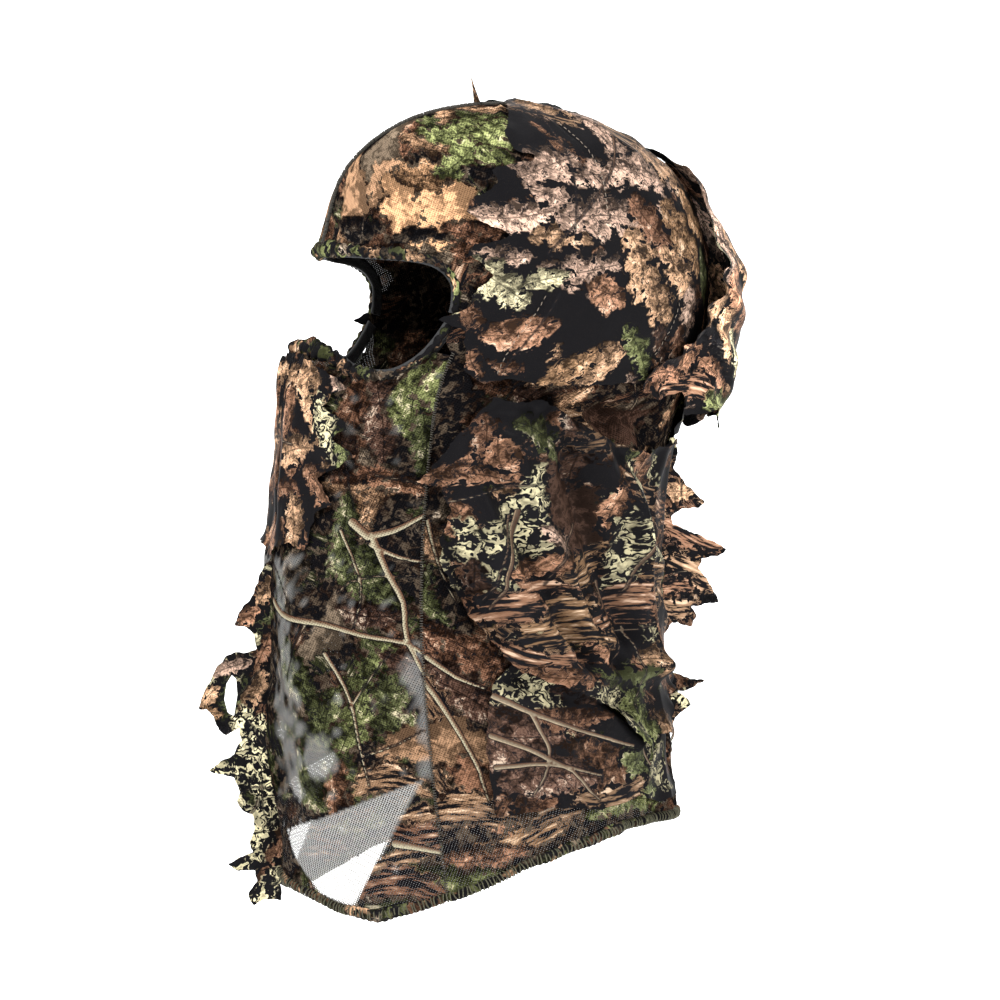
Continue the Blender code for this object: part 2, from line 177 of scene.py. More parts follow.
def distance_to(px, py, line):
    """Distance from points to a line of points, and how far along it the nearest place is."""
    best, along, side = np.full(np.shape(px), 1e9), np.zeros(np.shape(px)), np.zeros(np.shape(px))
    run = 0.0
    for (ax, ay), (bx, by) in zip(line, line[1:]):
        dx, dy = bx - ax, by - ay
        length = math.hypot(dx, dy) + 1e-9
        t = np.clip(((px - ax) * dx + (py - ay) * dy) / length**2, 0, 1)
        d = np.hypot(px - ax - t * dx, py - ay - t * dy)
        closer = d < best
        best = np.where(closer, d, best)
        along = np.where(closer, run + t * length, along)
        side = np.where(closer, ((px - ax) * dy - (py - ay) * dx) / length, side)
        run += length
    return best, along, side


# Rows of stitches that hold the leaf cloth to one side, and how far and wide they pull it in.
STITCH_LINES = (
    ((104, 52), (106, 78), (104, 104)), ((84, 150), (80, 172), (79, 190)), ((132, 150), (130, 166), (127, 180)),
)
STITCH_PULL, STITCH_PULL_WIDTH = -1.3, 3.0

# Folds of the worn cloth: (angle, fall) points, height and half width in millimetres.
FOLDS = (
    (((68, 205), (75, 228), (80, 250), (84, 272), (91, 300), (99, 330), (110, 356), (126, 385)), 9.2, 7.0),
    (((64, 222), (71, 262), (76, 292), (84, 320), (94, 345)), -6.0, 6.0),
    (((86, 225), (96, 262), (106, 300), (118, 335)), 7.3, 5.5),
    (((80, 240), (90, 276), (100, 312), (112, 345)), -6.0, 4.5),
    (((98, 216), (108, 250), (118, 288), (130, 326)), -9.0, 6.5),
    (((110, 224), (122, 256), (136, 284), (150, 300)), 7.5, 6.5),
    (((118, 214), (126, 236), (140, 252)), -6.0, 7.0),
    (((74, 214), (88, 222), (100, 236)), 5.0, 5.0),
    (((70, 262), (80, 290), (92, 318), (104, 334)), 6.0, 4.0),
    (((124, 240), (130, 276), (140, 316), (142, 350)), 6.0, 4.5),
    (((112, 300), (116, 326), (124, 344)), -6.0, 5.0),
    (((86, 300), (94, 310), (108, 316)), 4.0, 3.5),
    (((84, 330), (100, 342), (122, 350), (146, 346)), 5.0, 5.0),
    (((88, 348), (106, 358), (126, 366)), -5.0, 5.0),
    (((160, 42), (166, 62), (178, 80)), -6.0, 14.0),
    (((0, 186), (0, 262)), -4.5, 17.0),
    (((64.5, 182), (64, 205), (65, 232), (69, 250)), 3.5, 4.0),
    (((52, 196), (55, 220), (58, 245), (60, 275)), -2.5, 6.0),
    (((20, 240), (36, 238), (50, 246), (64, 256)), -3.0, 4.5),
    (((40, 268), (52, 300), (60, 345), (64, 400)), 3.0, 9.0),
    (((22, 290), (24, 330), (22, 380), (26, 430)), 2.5, 9.0),
    (((92, 206), (108, 212), (124, 217), (140, 220)), -11.0, 9.0),
    *((line, STITCH_PULL, STITCH_PULL_WIDTH) for line in STITCH_LINES),
    (((72, 20), (74, 60), (70, 90)), 1.5, 5.0),
    (((100, 18), (118, 40), (128, 70)), 1.5, 6.0),
    (((78, 392), (92, 384), (112, 380)), 4.0, 6.0),
    (((76, 420), (92, 412), (112, 408)), -3.0, 5.0),
    (((130, 250), (133, 300), (138, 350)), 4.0, 6.0),
    (((146, 236), (150, 290), (152, 340)), -3.5, 7.0),
)


def relief(angle, fall):
    """How far the worn cloth stands off the smooth hood at each place, in millimetres."""
    around = np.abs((angle + 180) % 360 - 180)
    signed = (angle + 180) % 360 - 180
    x, total = around * MM_PER_DEGREE, 0.0
    for line, height, width in FOLDS:
        d, _, _ = distance_to(x, fall, [(a * MM_PER_DEGREE, f) for a, f in line])
        total = total + height * np.exp(-((d / width) ** 2))
    lower = np.clip((fall - 190) / 80, 0, 1)
    upper = np.clip(fall / 60, 0.15, 1)
    total = total + waves(signed * MM_PER_DEGREE, fall, 46, 3) * (0.5 + 1.5 * lower) * upper
    creased = 1 - 2 * np.abs(waves(signed * MM_PER_DEGREE, fall * 0.7, 30, 4))
    total = total + creased * (0.25 + 1.2 * lower * np.clip((around - 60) / 12, 0.2, 1)) * upper
    near_nose = np.exp(-((fall - 192) / 16) ** 2) * (around < 62)
    total = total + near_nose * 1.1 * np.sin(signed * MM_PER_DEGREE / 1.15 + 2 * np.sin(signed / 9))
    near_brow = np.exp(-((fall - 120) / 9) ** 2) * (around < 60)
    total = total + near_brow * 0.7 * np.sin(signed * MM_PER_DEGREE / 1.0 + 2 * np.sin(signed / 7))
    return total


def smooth(points, step):
    """A smooth line through flat points, with a point about every step."""
    points = [np.array(p, float) for p in points]
    track = [points[0], *points, points[-1]]
    made = []
    for a, b, c, d in zip(track, track[1:], track[2:], track[3:]):
        count = max(1, int(np.hypot(*(c - b)) / step))
        for t in np.arange(count) / count:
            made.append(spline(a, b, c, d, t))
    made.append(points[-1])
    return np.array(made)


def resample(loop, step):
    loop = np.asarray(loop, float)
    closed = np.vstack([loop, loop[:1]])
    run = np.concatenate([[0], np.cumsum(np.hypot(*np.diff(closed, axis=0).T))])
    count = max(8, int(run[-1] / step))
    at = np.arange(count) * run[-1] / count
    return np.stack([np.interp(at, run, closed[:, 0]), np.interp(at, run, closed[:, 1])], 1), at


def leaf_cut(loop, step, seed, amount):
    """The outline with small leaf lobes and nicks cut into it."""
    loop, run = resample(loop, step)
    before, after = np.roll(loop, 2, 0), np.roll(loop, -2, 0)
    along = after - before
    normal = np.stack([along[:, 1], -along[:, 0]], 1) / (np.hypot(*along.T)[:, None] + 1e-9)
    total = run[-1]
    rng = np.random.default_rng(seed)
    lobes = np.zeros(len(run))
    for period, share in ((13.0, 0.6), (6.5, 0.35), (3.4, 0.16)):
        cycles = max(1, round(total / period))
        phase = 2 * np.pi * cycles * run / total + 1.5 * np.sin(2 * np.pi * run * 7 / total + rng.uniform(0, 6))
        lobes += share * (np.abs(np.sin(phase / 2)) ** 0.7 * 2 - 1)
    return loop + normal * (lobes * amount)[:, None]


def inside(px, py, loop):
    within = np.zeros(len(px), bool)
    for (ax, ay), (bx, by) in zip(loop, np.roll(loop, -1, 0)):
        crosses = (ay > py) != (by > py)
        if crosses.any():
            within[crosses] ^= px[crosses] < (bx - ax) * (py[crosses] - ay) / (by - ay) + ax
    return within


def edge_distance(px, py, loop):
    best = np.full(len(px), 1e9)
    for start in range(0, len(loop), 40):
        part = loop[start : start + 40]
        d = np.hypot(px[:, None] - part[:, 0], py[:, None] - part[:, 1]).min(1)
        best = np.minimum(best, d)
    return best


# Height of an equal triangle of side 1.
TRIANGLE_HEIGHT = 0.866


def fill(loop, step, holes=()):
    """Flat points and triangles that fill an outline, on a lattice of equal triangles."""
    low, high = loop.min(0), loop.max(0)
    rows = []
    for i, y in enumerate(np.arange(low[1], high[1], step * TRIANGLE_HEIGHT)):
        x = np.arange(low[0] + (i % 2) * step / 2, high[0], step)
        rows.append(np.stack([x, np.full(len(x), y)], 1))
    pts = np.vstack(rows)
    keep = inside(pts[:, 0], pts[:, 1], loop) & (edge_distance(pts[:, 0], pts[:, 1], loop) > step * 0.55)
    edges = [(i, (i + 1) % len(loop)) for i in range(len(loop))]
    ring = [loop]
    at = len(loop)
    for hole in holes:
        keep &= ~inside(pts[:, 0], pts[:, 1], hole) & (edge_distance(pts[:, 0], pts[:, 1], hole) > step * 0.5)
        edges += [(at + i, at + (i + 1) % len(hole)) for i in range(len(hole))]
        ring.append(hole)
        at += len(hole)
    pts = np.vstack(ring + [pts[keep]])
    made, _, faces, *_ = delaunay_2d_cdt([Vector(p) for p in pts], edges, [], 1, 1e-4)
    made = np.array([tuple(p) for p in made])
    faces = np.array([tuple(f) for f in faces])
    for hole in holes:
        centre = made[faces].mean(1)
        faces = faces[~inside(centre[:, 0], centre[:, 1], hole)]
    return made, faces


# ---------------------------------------------------------------- the print

class Print:
    """The printed picture at the points of one piece, painted leaf by leaf."""

    STYLES = {"oval": 0.0, "oak": 0.0, "patch": 1.0, "bark": 2.0, "streak": 3.0}

    def __init__(self, u, v):
        n = len(u)
        self.u, self.v = u, v
        self.edge = np.full(n, 3.0)
        self.along, self.across, self.half = np.zeros(n), np.zeros(n), np.ones(n)
        self.tint = np.tile(PALETTE["dark"], (n, 1))
        self.style, self.number, self.made = np.zeros(n), np.zeros(n), 0
        self.twig = np.full(n, -9.0)
        self.twig_across, self.twig_dark = np.zeros(n), np.zeros(n)
        self.bare, self.gain = np.zeros(n), np.ones(n)
        self.rag = waves(u, v, 7.0, 11) * 0.8 + waves(u, v, 3.6, 12) * 0.6 + waves(u, v, 2.4, 13) * 0.4

    def leaf(self, u, v, direction, length, width, kind, tint, shade=1.0):
        reach = max(length, width) * 0.75 + 4
        mu, mv = self.u - u, self.v - v
        near = np.nonzero(np.hypot(mu, mv) < reach)[0]
        self.made += 1
        if not len(near):
            return
        c, s = math.cos(math.radians(direction)), math.sin(math.radians(direction))
        x = (mu[near] * c + mv[near] * s) + length / 2
        y = -mu[near] * s + mv[near] * c
        y = y + 0.10 * length * np.sin(x / length * 3.0 + direction)
        t = np.clip(x / length, 0.0, 1.0)
        if kind == "oval":
            half = width / 2 * np.sin(np.pi * t**0.85) ** 0.85
            inner = (half - np.abs(y)) * 0.85
        elif kind == "oak":
            tt = np.clip(t - 0.25 * np.abs(y) / length, 0, 1)
            body = np.sin(np.pi * np.clip(tt, 0, 1) ** 0.8) ** 0.6
            half = width / 2 * body * (0.5 + 0.5 * np.abs(np.sin(3.4 * np.pi * tt + 0.7)) ** 0.8) + 0.8 * body
            inner = (half - np.abs(y)) * 0.65
        else:
            turn = np.arctan2(y / width, (x - length / 2) / length)
            lobes = 0.12 * np.sin(3 * turn + direction)
            rim = 0.5 * (1 + lobes + 0.10 * np.sin(7 * turn + u) + 0.05 * np.sin(13 * turn))
            inner = (rim - np.hypot((x - length / 2) / length, y / width)) * min(length, width)
            half = np.full(len(near), width / 2)
        inner = inner + self.rag[near] * (0.9 if kind in ("oval", "oak") else 1.5)
        inner = np.minimum(inner, np.minimum(x, length - x) * 1.2 + 1.0)
        over = inner > 0
        hit, miss = near[over], near[~over]
        self.edge[hit] = np.minimum(inner[over], 6)
        self.along[hit], self.across[hit], self.half[hit] = x[over], y[over], np.maximum(half[over], 0.5)
        self.tint[hit] = np.array(PALETTE[tint]) * shade
        self.style[hit] = self.STYLES[kind]
        self.number[hit] = self.made * 7.3
        self.edge[miss] = np.minimum(self.edge[miss], np.maximum(-inner[~over], 0.0))

    def branch(self, points, half, dark=0.0):
        """A twig along flat points, thickest at its start."""
        line = smooth(points, 6.0)
        d, run, side = distance_to(self.u, self.v, [tuple(p) for p in line])
        total = np.hypot(*np.diff(line, axis=0).T).sum()
        width = half * (1 - 0.6 * run / total)
        inner = width + self.rag * 0.07 - d
        better = inner > self.twig
        self.twig = np.where(better, inner, self.twig)
        self.twig_across = np.where(better, side / np.maximum(width, 0.2), self.twig_across)
        self.twig_dark = np.where(better & (inner > -1.5), dark, self.twig_dark)

    def scatter(self, seed, count, tints, size=(18, 44), kinds=("oval", "oak", "oak"), shades=(0.6, 1.2), box=None):
        rng = np.random.default_rng(seed)
        u0, u1, v0, v1 = box or (self.u.min(), self.u.max(), self.v.min(), self.v.max())
        for _ in range(count):
            length = rng.uniform(*size)
            self.leaf(
                rng.uniform(u0, u1), rng.uniform(v0, v1), rng.uniform(0, 360), length,
                length * rng.uniform(0.36, 0.62), kinds[rng.integers(len(kinds))],
                tints[rng.integers(len(tints))], rng.uniform(*shades),
            )

    def twigs(self, seed, count, length=(30, 80), half=(0.4, 0.9), dark=0.5):
        rng = np.random.default_rng(seed)
        for _ in range(count):
            p = np.array([rng.uniform(self.u.min(), self.u.max()), rng.uniform(self.v.min(), self.v.max())])
            turn, points = rng.uniform(0, 2 * np.pi), [p]
            for _ in range(4):
                turn += rng.uniform(-0.5, 0.5)
                p = p + np.array([math.cos(turn), math.sin(turn)]) * rng.uniform(*length) / 4
                points.append(p)
            self.branch(points, rng.uniform(*half), dark)

    def write(self, mesh):
        n = len(self.u)
        values = {
            "print_edge": self.edge, "leaf_slope": self.across / self.half, "leaf_style": self.style,
            "twig_in": np.maximum(self.twig, -3), "twig_across": np.clip(self.twig_across, -2, 2),
            "twig_dark": self.twig_dark, "bare_net": self.bare,
        }
        for name, value in values.items():
            attribute = mesh.attributes.new(name, "FLOAT", "POINT")
            attribute.data.foreach_set("value", np.asarray(value, np.float32))
        vectors = {
            "leaf_tint": self.tint * self.gain[:, None],
            "leaf_place": np.stack([self.along, self.across, self.number], 1),
            "flat": np.stack([self.u, self.v, np.zeros(n)], 1),
        }
        for name, value in vectors.items():
            attribute = mesh.attributes.new(name, "FLOAT_VECTOR", "POINT")
            attribute.data.foreach_set("vector", value.astype(np.float32).ravel())


# ---------------------------------------------------------------- materials

class Nodes:
    """Short names for the nodes of one material."""

    def __init__(self, name):
        self.material = bpy.data.materials.new(name)
        self.material.use_nodes = True
        self.tree = self.material.node_tree
        self.tree.nodes.clear()

    def add(self, kind, inputs=(), **settings):
        node = self.tree.nodes.new(kind)
        for key, value in settings.items():
            setattr(node, key, value)
        for key, value in dict(inputs).items():
            self.put(node.inputs[key], value)
        return node

    def put(self, socket, value):
        if isinstance(value, bpy.types.NodeSocket):
            self.tree.links.new(value, socket)
        else:
            socket.default_value = value

    def math(self, operation, a, b=0.0, c=0.0, clamp=False):
        node = self.add("ShaderNodeMath", operation=operation, use_clamp=clamp)
        for socket, value in zip(node.inputs, (a, b, c)):
            self.put(socket, value)
        return node.outputs[0]

    def ramp(self, value, low, high, to_low=0.0, to_high=1.0):
        node = self.add("ShaderNodeMapRange", interpolation_type="SMOOTHSTEP")
        for key, given in zip((0, 1, 2, 3, 4), (value, low, high, to_low, to_high)):
            self.put(node.inputs[key], given)
        return node.outputs[0]

    def mix(self, share, a, b, blend="MIX"):
        node = self.add("ShaderNodeMix", data_type="RGBA", blend_type=blend)
        self.put(node.inputs[0], share)
        self.put(node.inputs[6], a)
        self.put(node.inputs[7], b)
        return node.outputs[2]

    def number(self, name):
        return self.add("ShaderNodeAttribute", attribute_name=name).outputs["Fac"]

    def vector(self, name):
        return self.add("ShaderNodeAttribute", attribute_name=name).outputs["Vector"]

    def noise(self, where, scale, detail=2.0, roughness=0.5):
        node = self.add("ShaderNodeTexNoise")
        self.put(node.inputs["Vector"], where)
        for key, value in (("Scale", scale), ("Detail", detail), ("Roughness", roughness)):
            node.inputs[key].default_value = value
        return node.outputs["Fac"]

    def swing(self, value, size):
        """A value from 0 to 1, turned into one about zero."""
        return self.math("MULTIPLY", self.math("SUBTRACT", value, 0.5), size)

    def times(self, base, factor):
        """A colour or vector times a factor, which is a number or a socket."""
        node = self.add("ShaderNodeVectorMath", {0: base, "Scale": factor}, operation="SCALE")
        return node.outputs[0]

    def printing_depth(self, base, contrast):
        """The colour with deeper shades and the same light tones, slightly greyed."""
        deep = self.add("ShaderNodeGamma", {"Color": base, "Gamma": contrast}).outputs[0]
        deep = self.times(deep, 1.55)
        return self.add("ShaderNodeHueSaturation", {"Color": deep, "Saturation": 0.83}).outputs[0]

    def out(self, shader):
        output = self.add("ShaderNodeOutputMaterial")
        self.tree.links.new(shader, output.inputs["Surface"])
        return self.material


def colour(name, shade=1.0):
    return tuple(c * shade for c in PALETTE[name]) + (1.0,)


def printed(name, net):
    """The camouflage print, on opaque satin-faced cloth or on knit net with see-through holes."""
    m = Nodes(name)
    flat = m.vector("flat")
    edge, style, slope = m.number("print_edge"), m.number("leaf_style"), m.number("leaf_slope")
    tint, place = m.vector("leaf_tint"), m.vector("leaf_place")
    wander = m.add("ShaderNodeTexNoise", {"Vector": flat, "Scale": 0.16, "Detail": 2.0}).outputs["Color"]
    wander = m.add("ShaderNodeVectorMath", {0: wander, 1: (0.5, 0.5, 0.5)}, operation="SUBTRACT").outputs[0]
    bent = m.add("ShaderNodeVectorMath", {0: flat, 1: m.times(wander, 14.0)}, operation="ADD").outputs[0]
    coarse = m.noise(bent, 0.10, 4.0, 0.60)
    middle = m.noise(bent, 0.24, 2.5, 0.48)
    fine = m.noise(flat, 0.95, 2.0, 0.55)
    torn = m.math("ABSOLUTE", m.math("SUBTRACT", m.noise(bent, 0.17, 3.0, 0.55), 0.5))
    grain = m.noise(flat, 2.6, 2.0, 0.6)
    # Leaf flesh: from deep shade on one side to a pale dry edge on the other, mottled and speckled.
    tone = m.math("ADD", m.math("MULTIPLY", slope, 0.30), 0.42)
    tone = m.math("ADD", tone, m.swing(coarse, 2.0))
    tone = m.math("ADD", tone, m.swing(middle, 1.7))
    tone = m.math("ADD", tone, m.swing(fine, 0.6))
    flesh = m.mix(m.ramp(tone, 0.0, 0.32), m.times(tint, 0.16), m.times(tint, 0.60))
    flesh = m.mix(m.ramp(tone, 0.32, 0.64), flesh, m.times(tint, 1.30))
    dry = m.mix(0.5, m.times(tint, 2.0), colour("cream"))
    flesh = m.mix(m.ramp(tone, 0.66, 1.05), flesh, dry)
    split = m.add("ShaderNodeSeparateXYZ", {0: place})
    side = m.math("ABSOLUTE", split.outputs[1])
    slant = m.math("SUBTRACT", split.outputs[0], m.math("MULTIPLY", side, 0.8))
    slant = m.math("ADD", slant, m.math("MULTIPLY", middle, 3.0))
    veins = m.math("MULTIPLY", m.ramp(m.math("SINE", m.math("MULTIPLY", slant, 1.0)), 0.90, 0.99), 0.45)
    veins = m.math("MAXIMUM", veins, m.ramp(side, 0.15, 0.55, 0.75, 0.0))
    flesh = m.mix(veins, flesh, m.times(tint, 0.25))
    freckle = m.ramp(m.noise(flat, 0.9, 2.0, 0.6), 0.62, 0.66)
    flesh = m.mix(m.math("MULTIPLY", freckle, 0.8), flesh, colour("dark", 1.6))
    flesh = m.mix(m.ramp(torn, 0.008, 0.022, 0.92, 0.0), flesh, colour("dark", 1.3))
    # Lichen: crumbly and soft edged.
    crumb = m.mix(m.ramp(tone, 0.15, 0.75), m.times(tint, 0.55), m.times(tint, 1.45))
    crumb = m.mix(m.ramp(fine, 0.56, 0.66, 0.0, 0.75), crumb, m.times(tint, 0.3))
    flesh = m.mix(m.ramp(style, 0.4, 0.8), flesh, crumb)
    # Birch bark: pale, cut up by black contour lines.
    lines = m.math("FRACT", m.math("MULTIPLY", m.noise(bent, 0.060, 2.0, 0.5), 11.0))
    lines = m.ramp(m.math("ABSOLUTE", m.math("SUBTRACT", lines, 0.5)), 0.16, 0.24, 1.0, 0.0)
    lines = m.math("MAXIMUM", lines, m.ramp(coarse, 0.52, 0.56))
    birch = m.mix(m.ramp(middle, 0.35, 0.65), m.times(tint, 0.6), m.times(tint, 1.35))
    flesh = m.mix(m.ramp(style, 1.4, 1.8), flesh, m.mix(lines, birch, colour("dark", 1.2)))
    # Streaked bark: black stripes along the grain between orange brown and pale ridges.
    grained = m.add("ShaderNodeMapping", {"Vector": place, "Scale": (0.075, 0.42, 1.0)}).outputs[0]
    streak = m.noise(grained, 1.0, 4.0, 0.6)
    pale_ridge = m.mix(0.5, m.times(tint, 1.5), colour("cream", 0.9))
    ridges = m.mix(m.ramp(streak, 0.30, 0.44, 1.0, 0.0), m.times(tint, 0.75), pale_ridge)
    ridges = m.mix(m.ramp(streak, 0.46, 0.54), ridges, colour("dark", 1.2))
    flesh = m.mix(m.ramp(style, 2.4, 2.8), flesh, ridges)
    # The ragged rim of each leaf, and the black gaps eaten into it.
    level, depth = (0.515, 11.0) if net else (0.49, 12.0)
    eaten = m.math("ADD", edge, m.math("MULTIPLY", m.math("SUBTRACT", level, middle), depth))
    eaten = m.math("ADD", eaten, m.math("MULTIPLY", m.math("SUBTRACT", 0.5, fine), 1.3))
    rim = m.ramp(eaten, 0.15, 0.75)
    ground = m.mix(m.ramp(grain, 0.60, 0.72), colour("dark"), colour("grey", 0.30))
    if net:
        litter = m.mix(m.ramp(tone, 0.2, 0.9), colour("dbrown", 0.4), colour("grey", 0.8))
        ground = m.mix(m.ramp(middle, 0.46, 0.58), ground, litter)
    picture = m.mix(rim, ground, flesh)
    lit = m.add("ShaderNodeVectorMath", {0: tint}, operation="LENGTH").outputs["Value"]
    picture = m.mix(m.ramp(lit, 0.025, 0.04), ground, picture)
    # Twigs lie over everything, lit on one side.
    twig, twig_side = m.number("twig_in"), m.number("twig_across")
    lean = m.math("ADD", twig_side, m.swing(fine, 0.9))
    bark = m.mix(m.ramp(lean, -0.8, 0.9), colour("twig"), colour("brown", 0.8))
    shade = m.mix(m.ramp(lean, -0.9, -0.4), colour("tan"), colour("dbrown"))
    bark = m.mix(m.number("twig_dark"), bark, shade)
    picture = m.mix(m.ramp(twig, -0.8, -0.1, 0.0, 0.8), picture, colour("dark", 1.3))
    picture = m.mix(m.ramp(twig, -0.1, 0.25), picture, bark)
    bump_height = m.math("ADD", m.math("MULTIPLY", middle, 0.4), m.math("MULTIPLY", grain, 0.2))
    if net:
        spot = m.add("ShaderNodeSeparateXYZ", {0: flat})
        u, v = spot.outputs[0], spot.outputs[1]
        bend = m.swing(fine, 1.2)
        one = m.math("ADD", m.math("MULTIPLY", m.math("ADD", u, m.math("MULTIPLY", v, 0.45)), 2.35), bend)
        two = m.math("ADD", m.math("MULTIPLY", m.math("SUBTRACT", v, m.math("MULTIPLY", u, 0.45)), 2.7), bend)
        gap = m.math("MULTIPLY", m.math("ABSOLUTE", m.math("SINE", one)), m.math("ABSOLUTE", m.math("SINE", two)))
        bare_net = m.number("bare_net")
        low = m.math("SUBTRACT", 0.90, m.math("MULTIPLY", bare_net, 0.58))
        high = m.math("SUBTRACT", 1.12, m.math("MULTIPLY", bare_net, 0.60))
        open_share = m.ramp(gap, low, high, 1.0, 0.0)
        shadowed = m.ramp(gap, 0.35, 0.95, 1.08, 0.62)
        picture = m.printing_depth(m.times(picture, shadowed), 1.42)
        picture = m.mix(m.math("MULTIPLY", bare_net, 0.85), picture, (0.36, 0.36, 0.35, 1.0))
        bump_height = m.math("ADD", bump_height, m.math("MULTIPLY", gap, -0.8))
    else:
        picture = m.printing_depth(picture, 1.32)
    bump = m.add("ShaderNodeBump", {"Strength": 0.35 if net else 0.25, "Distance": 0.0006, "Height": bump_height})
    shader = m.add("ShaderNodeBsdfPrincipled", {"Base Color": picture, "Normal": bump.outputs[0]})
    shader.inputs["Roughness"].default_value = 0.85 if net else 0.5
    shader.inputs["Specular IOR Level"].default_value = 0.0 if net else 0.02
    surface = shader.outputs[0]
    if net:
        clear = m.add("ShaderNodeBsdfTransparent").outputs[0]
        surface = m.add("ShaderNodeMixShader", {0: open_share, 1: clear, 2: surface}).outputs[0]
    return m.out(surface)


def plain(name, base, roughness, scale=900.0, spread=0.5):
    m = Nodes(name)
    where = m.add("ShaderNodeTexCoord").outputs["Object"]
    speck = m.ramp(m.noise(where, scale, 3.0, 0.6), 0.35, 0.65, 1 - spread, 1 + spread)
    tone = m.add("ShaderNodeCombineColor", {0: speck, 1: speck, 2: speck}).outputs[0]
    shade = m.mix(1.0, (*base, 1.0), tone, "MULTIPLY")
    bump = m.add("ShaderNodeBump", {"Strength": 0.4, "Distance": 0.0004, "Height": speck})
    shader = m.add("ShaderNodeBsdfPrincipled", {"Base Color": shade, "Normal": bump.outputs[0]})
    shader.inputs["Roughness"].default_value = roughness
    return m.out(shader.outputs[0])


# ---------------------------------------------------------------- cloth pieces

def finished(name, points, faces, material):
    mesh = bpy.data.meshes.new(name)
    mesh.from_pydata([tuple(p) for p in points], [], [tuple(int(i) for i in f) for f in faces])
    mesh.shade_smooth()
    mesh.materials.append(material)
    obj = bpy.data.objects.new(name, mesh)
    bpy.context.scene.collection.objects.link(obj)
    return obj


def outward_faces(points, faces, outward):
    """The faces turned so that they look the way the cloth's outer side does."""
    a, b, c = points[faces[:, 0]], points[faces[:, 1]], points[faces[:, 2]]
    n = np.cross(b - a, c - a)
    if (n * outward[faces[:, 0]]).sum() < 0:
        faces = faces[:, ::-1]
    return faces


# The narrowest width taken for a sheet, and the least share of its rectangle.
LEAST_WIDTH, LEAST_SHARE = 0.0101, 0.3


def declare(piece, u, v, faces):
    """Works out the flat size the piece was cut to, from its flat outline, and keeps nothing of it."""
    width, length = max(float(np.ptp(u)) / 1000, LEAST_WIDTH), float(np.ptp(v)) / 1000
    a, b, c = (np.stack([u, v], 1)[faces[:, i]] for i in range(3))
    area = float(np.abs((b - a)[:, 0] * (c - a)[:, 1] - (b - a)[:, 1] * (c - a)[:, 0]).sum() / 2) / 1e6
    area = min(max(area, LEAST_SHARE * width * length), width * length)


def cloth(name, outline, middle, step, lift, paint, material, seed=0, amount=0.0, curl=0.0, flutter=1.0):
    """A cloth piece cut in the flat and laid on the worn hood. lift is a size in millimetres or a function."""
    u, v = to_flat(*np.array(outline, float).T, middle)
    loop = np.stack([u, v], 1)
    loop = leaf_cut(loop, step, seed, amount) if amount else resample(loop, step)[0]
    flat, faces = fill(loop, step)
    u, v = flat.T
    angle, fall = from_flat(u, v, middle)
    height = lift(angle, fall) if callable(lift) else lift
    height = height + relief(angle, fall)
    if curl:
        rim = edge_distance(u, v, loop)
        lifted = np.exp(-rim / 5.0) * (0.55 + 0.6 * waves(u, v, 17, seed + 5))
        height = height + curl * np.maximum(lifted, -0.1)
        height = height + flutter * np.maximum(waves(u, v, 24, seed + 6), -0.4) * 0.7
    points = on_hood(angle, fall, height)
    faces = outward_faces(points, faces, outward_at(angle, fall))
    obj = finished(name, points, faces, material)
    picture = Print(u, v)
    paint(picture, middle)
    picture.write(obj.data)
    return obj, u, v, faces


def strip(name, outline, angle, step, sway, paint, material, seed, amount, holes=()):
    """A leaf-cut cloth piece sewn on along its inner edge and standing out from the hood."""
    loop = leaf_cut(np.array(outline, float), step, seed, amount)
    holes = [resample(np.array(h, float), step)[0] for h in holes]
    flat, faces = fill(loop, step, holes)
    u, v = flat.T
    root = np.minimum(v, hem_fall(angle))
    points = on_hood(np.full(len(u), float(angle)), root, u + relief(np.full(len(u), float(angle)), root))
    points[:, 2] -= np.maximum(v - root, 0) / 1000
    points[:, 0] += sway(u, v) / 1000
    side = np.tile((1.0, 0.0, 0.0), (len(u), 1))
    faces = outward_faces(points, faces, side)
    obj = finished(name, points, faces, material)
    picture = Print(u, v)
    paint(picture, 0)
    picture.write(obj.data)
    return obj, u, v, faces


def mirrored(outline):
    return [(-a, f) for a, f in outline]


def both_sides(line, middle=0):
    return [*reversed(line), *[(2 * middle - a, f) for a, f in line[1:]]]


def steady(angle):
    return np.ones(len(angle))


def at_corners(angle):
    """Edges thin down where the brow and the nose edge meet at the corners of the eyes."""
    return np.interp(np.abs(angle), (0, 40, 54, 60), (1, 1, 0.55, 0.45))


def path_frame(centre, out):
    """The sideways direction at each point of a line of points and how far along each point is."""
    tangent = np.gradient(centre, axis=0)
    tangent /= np.linalg.norm(tangent, axis=1, keepdims=True)
    run = np.concatenate([[0], np.cumsum(np.linalg.norm(np.diff(centre, axis=0), axis=1))])
    return np.cross(tangent, out), run


def tube(name, rings, centre, material):
    """A closed tube through rings of points in millimetres. centre is the middle of the first ring."""
    count, sides = rings.shape[:2]
    points = rings.reshape(-1, 3) / 1000
    a = np.arange(count - 1)[:, None] * sides + np.arange(sides)[None]
    b = np.arange(count - 1)[:, None] * sides + (np.arange(sides)[None] + 1) % sides
    faces = [list(q) for q in np.stack([a, b, b + sides, a + sides], -1).reshape(-1, 4)]
    faces += [list(range(sides)), [(count - 1) * sides + i for i in range(sides)][::-1]]
    q = faces[0]
    n = np.cross(points[q[1]] - points[q[0]], points[q[2]] - points[q[0]])
    if n @ (points[q[0]] - centre / 1000) < 0:
        faces = [f[::-1] for f in faces]
    return finished(name, points, faces, material)


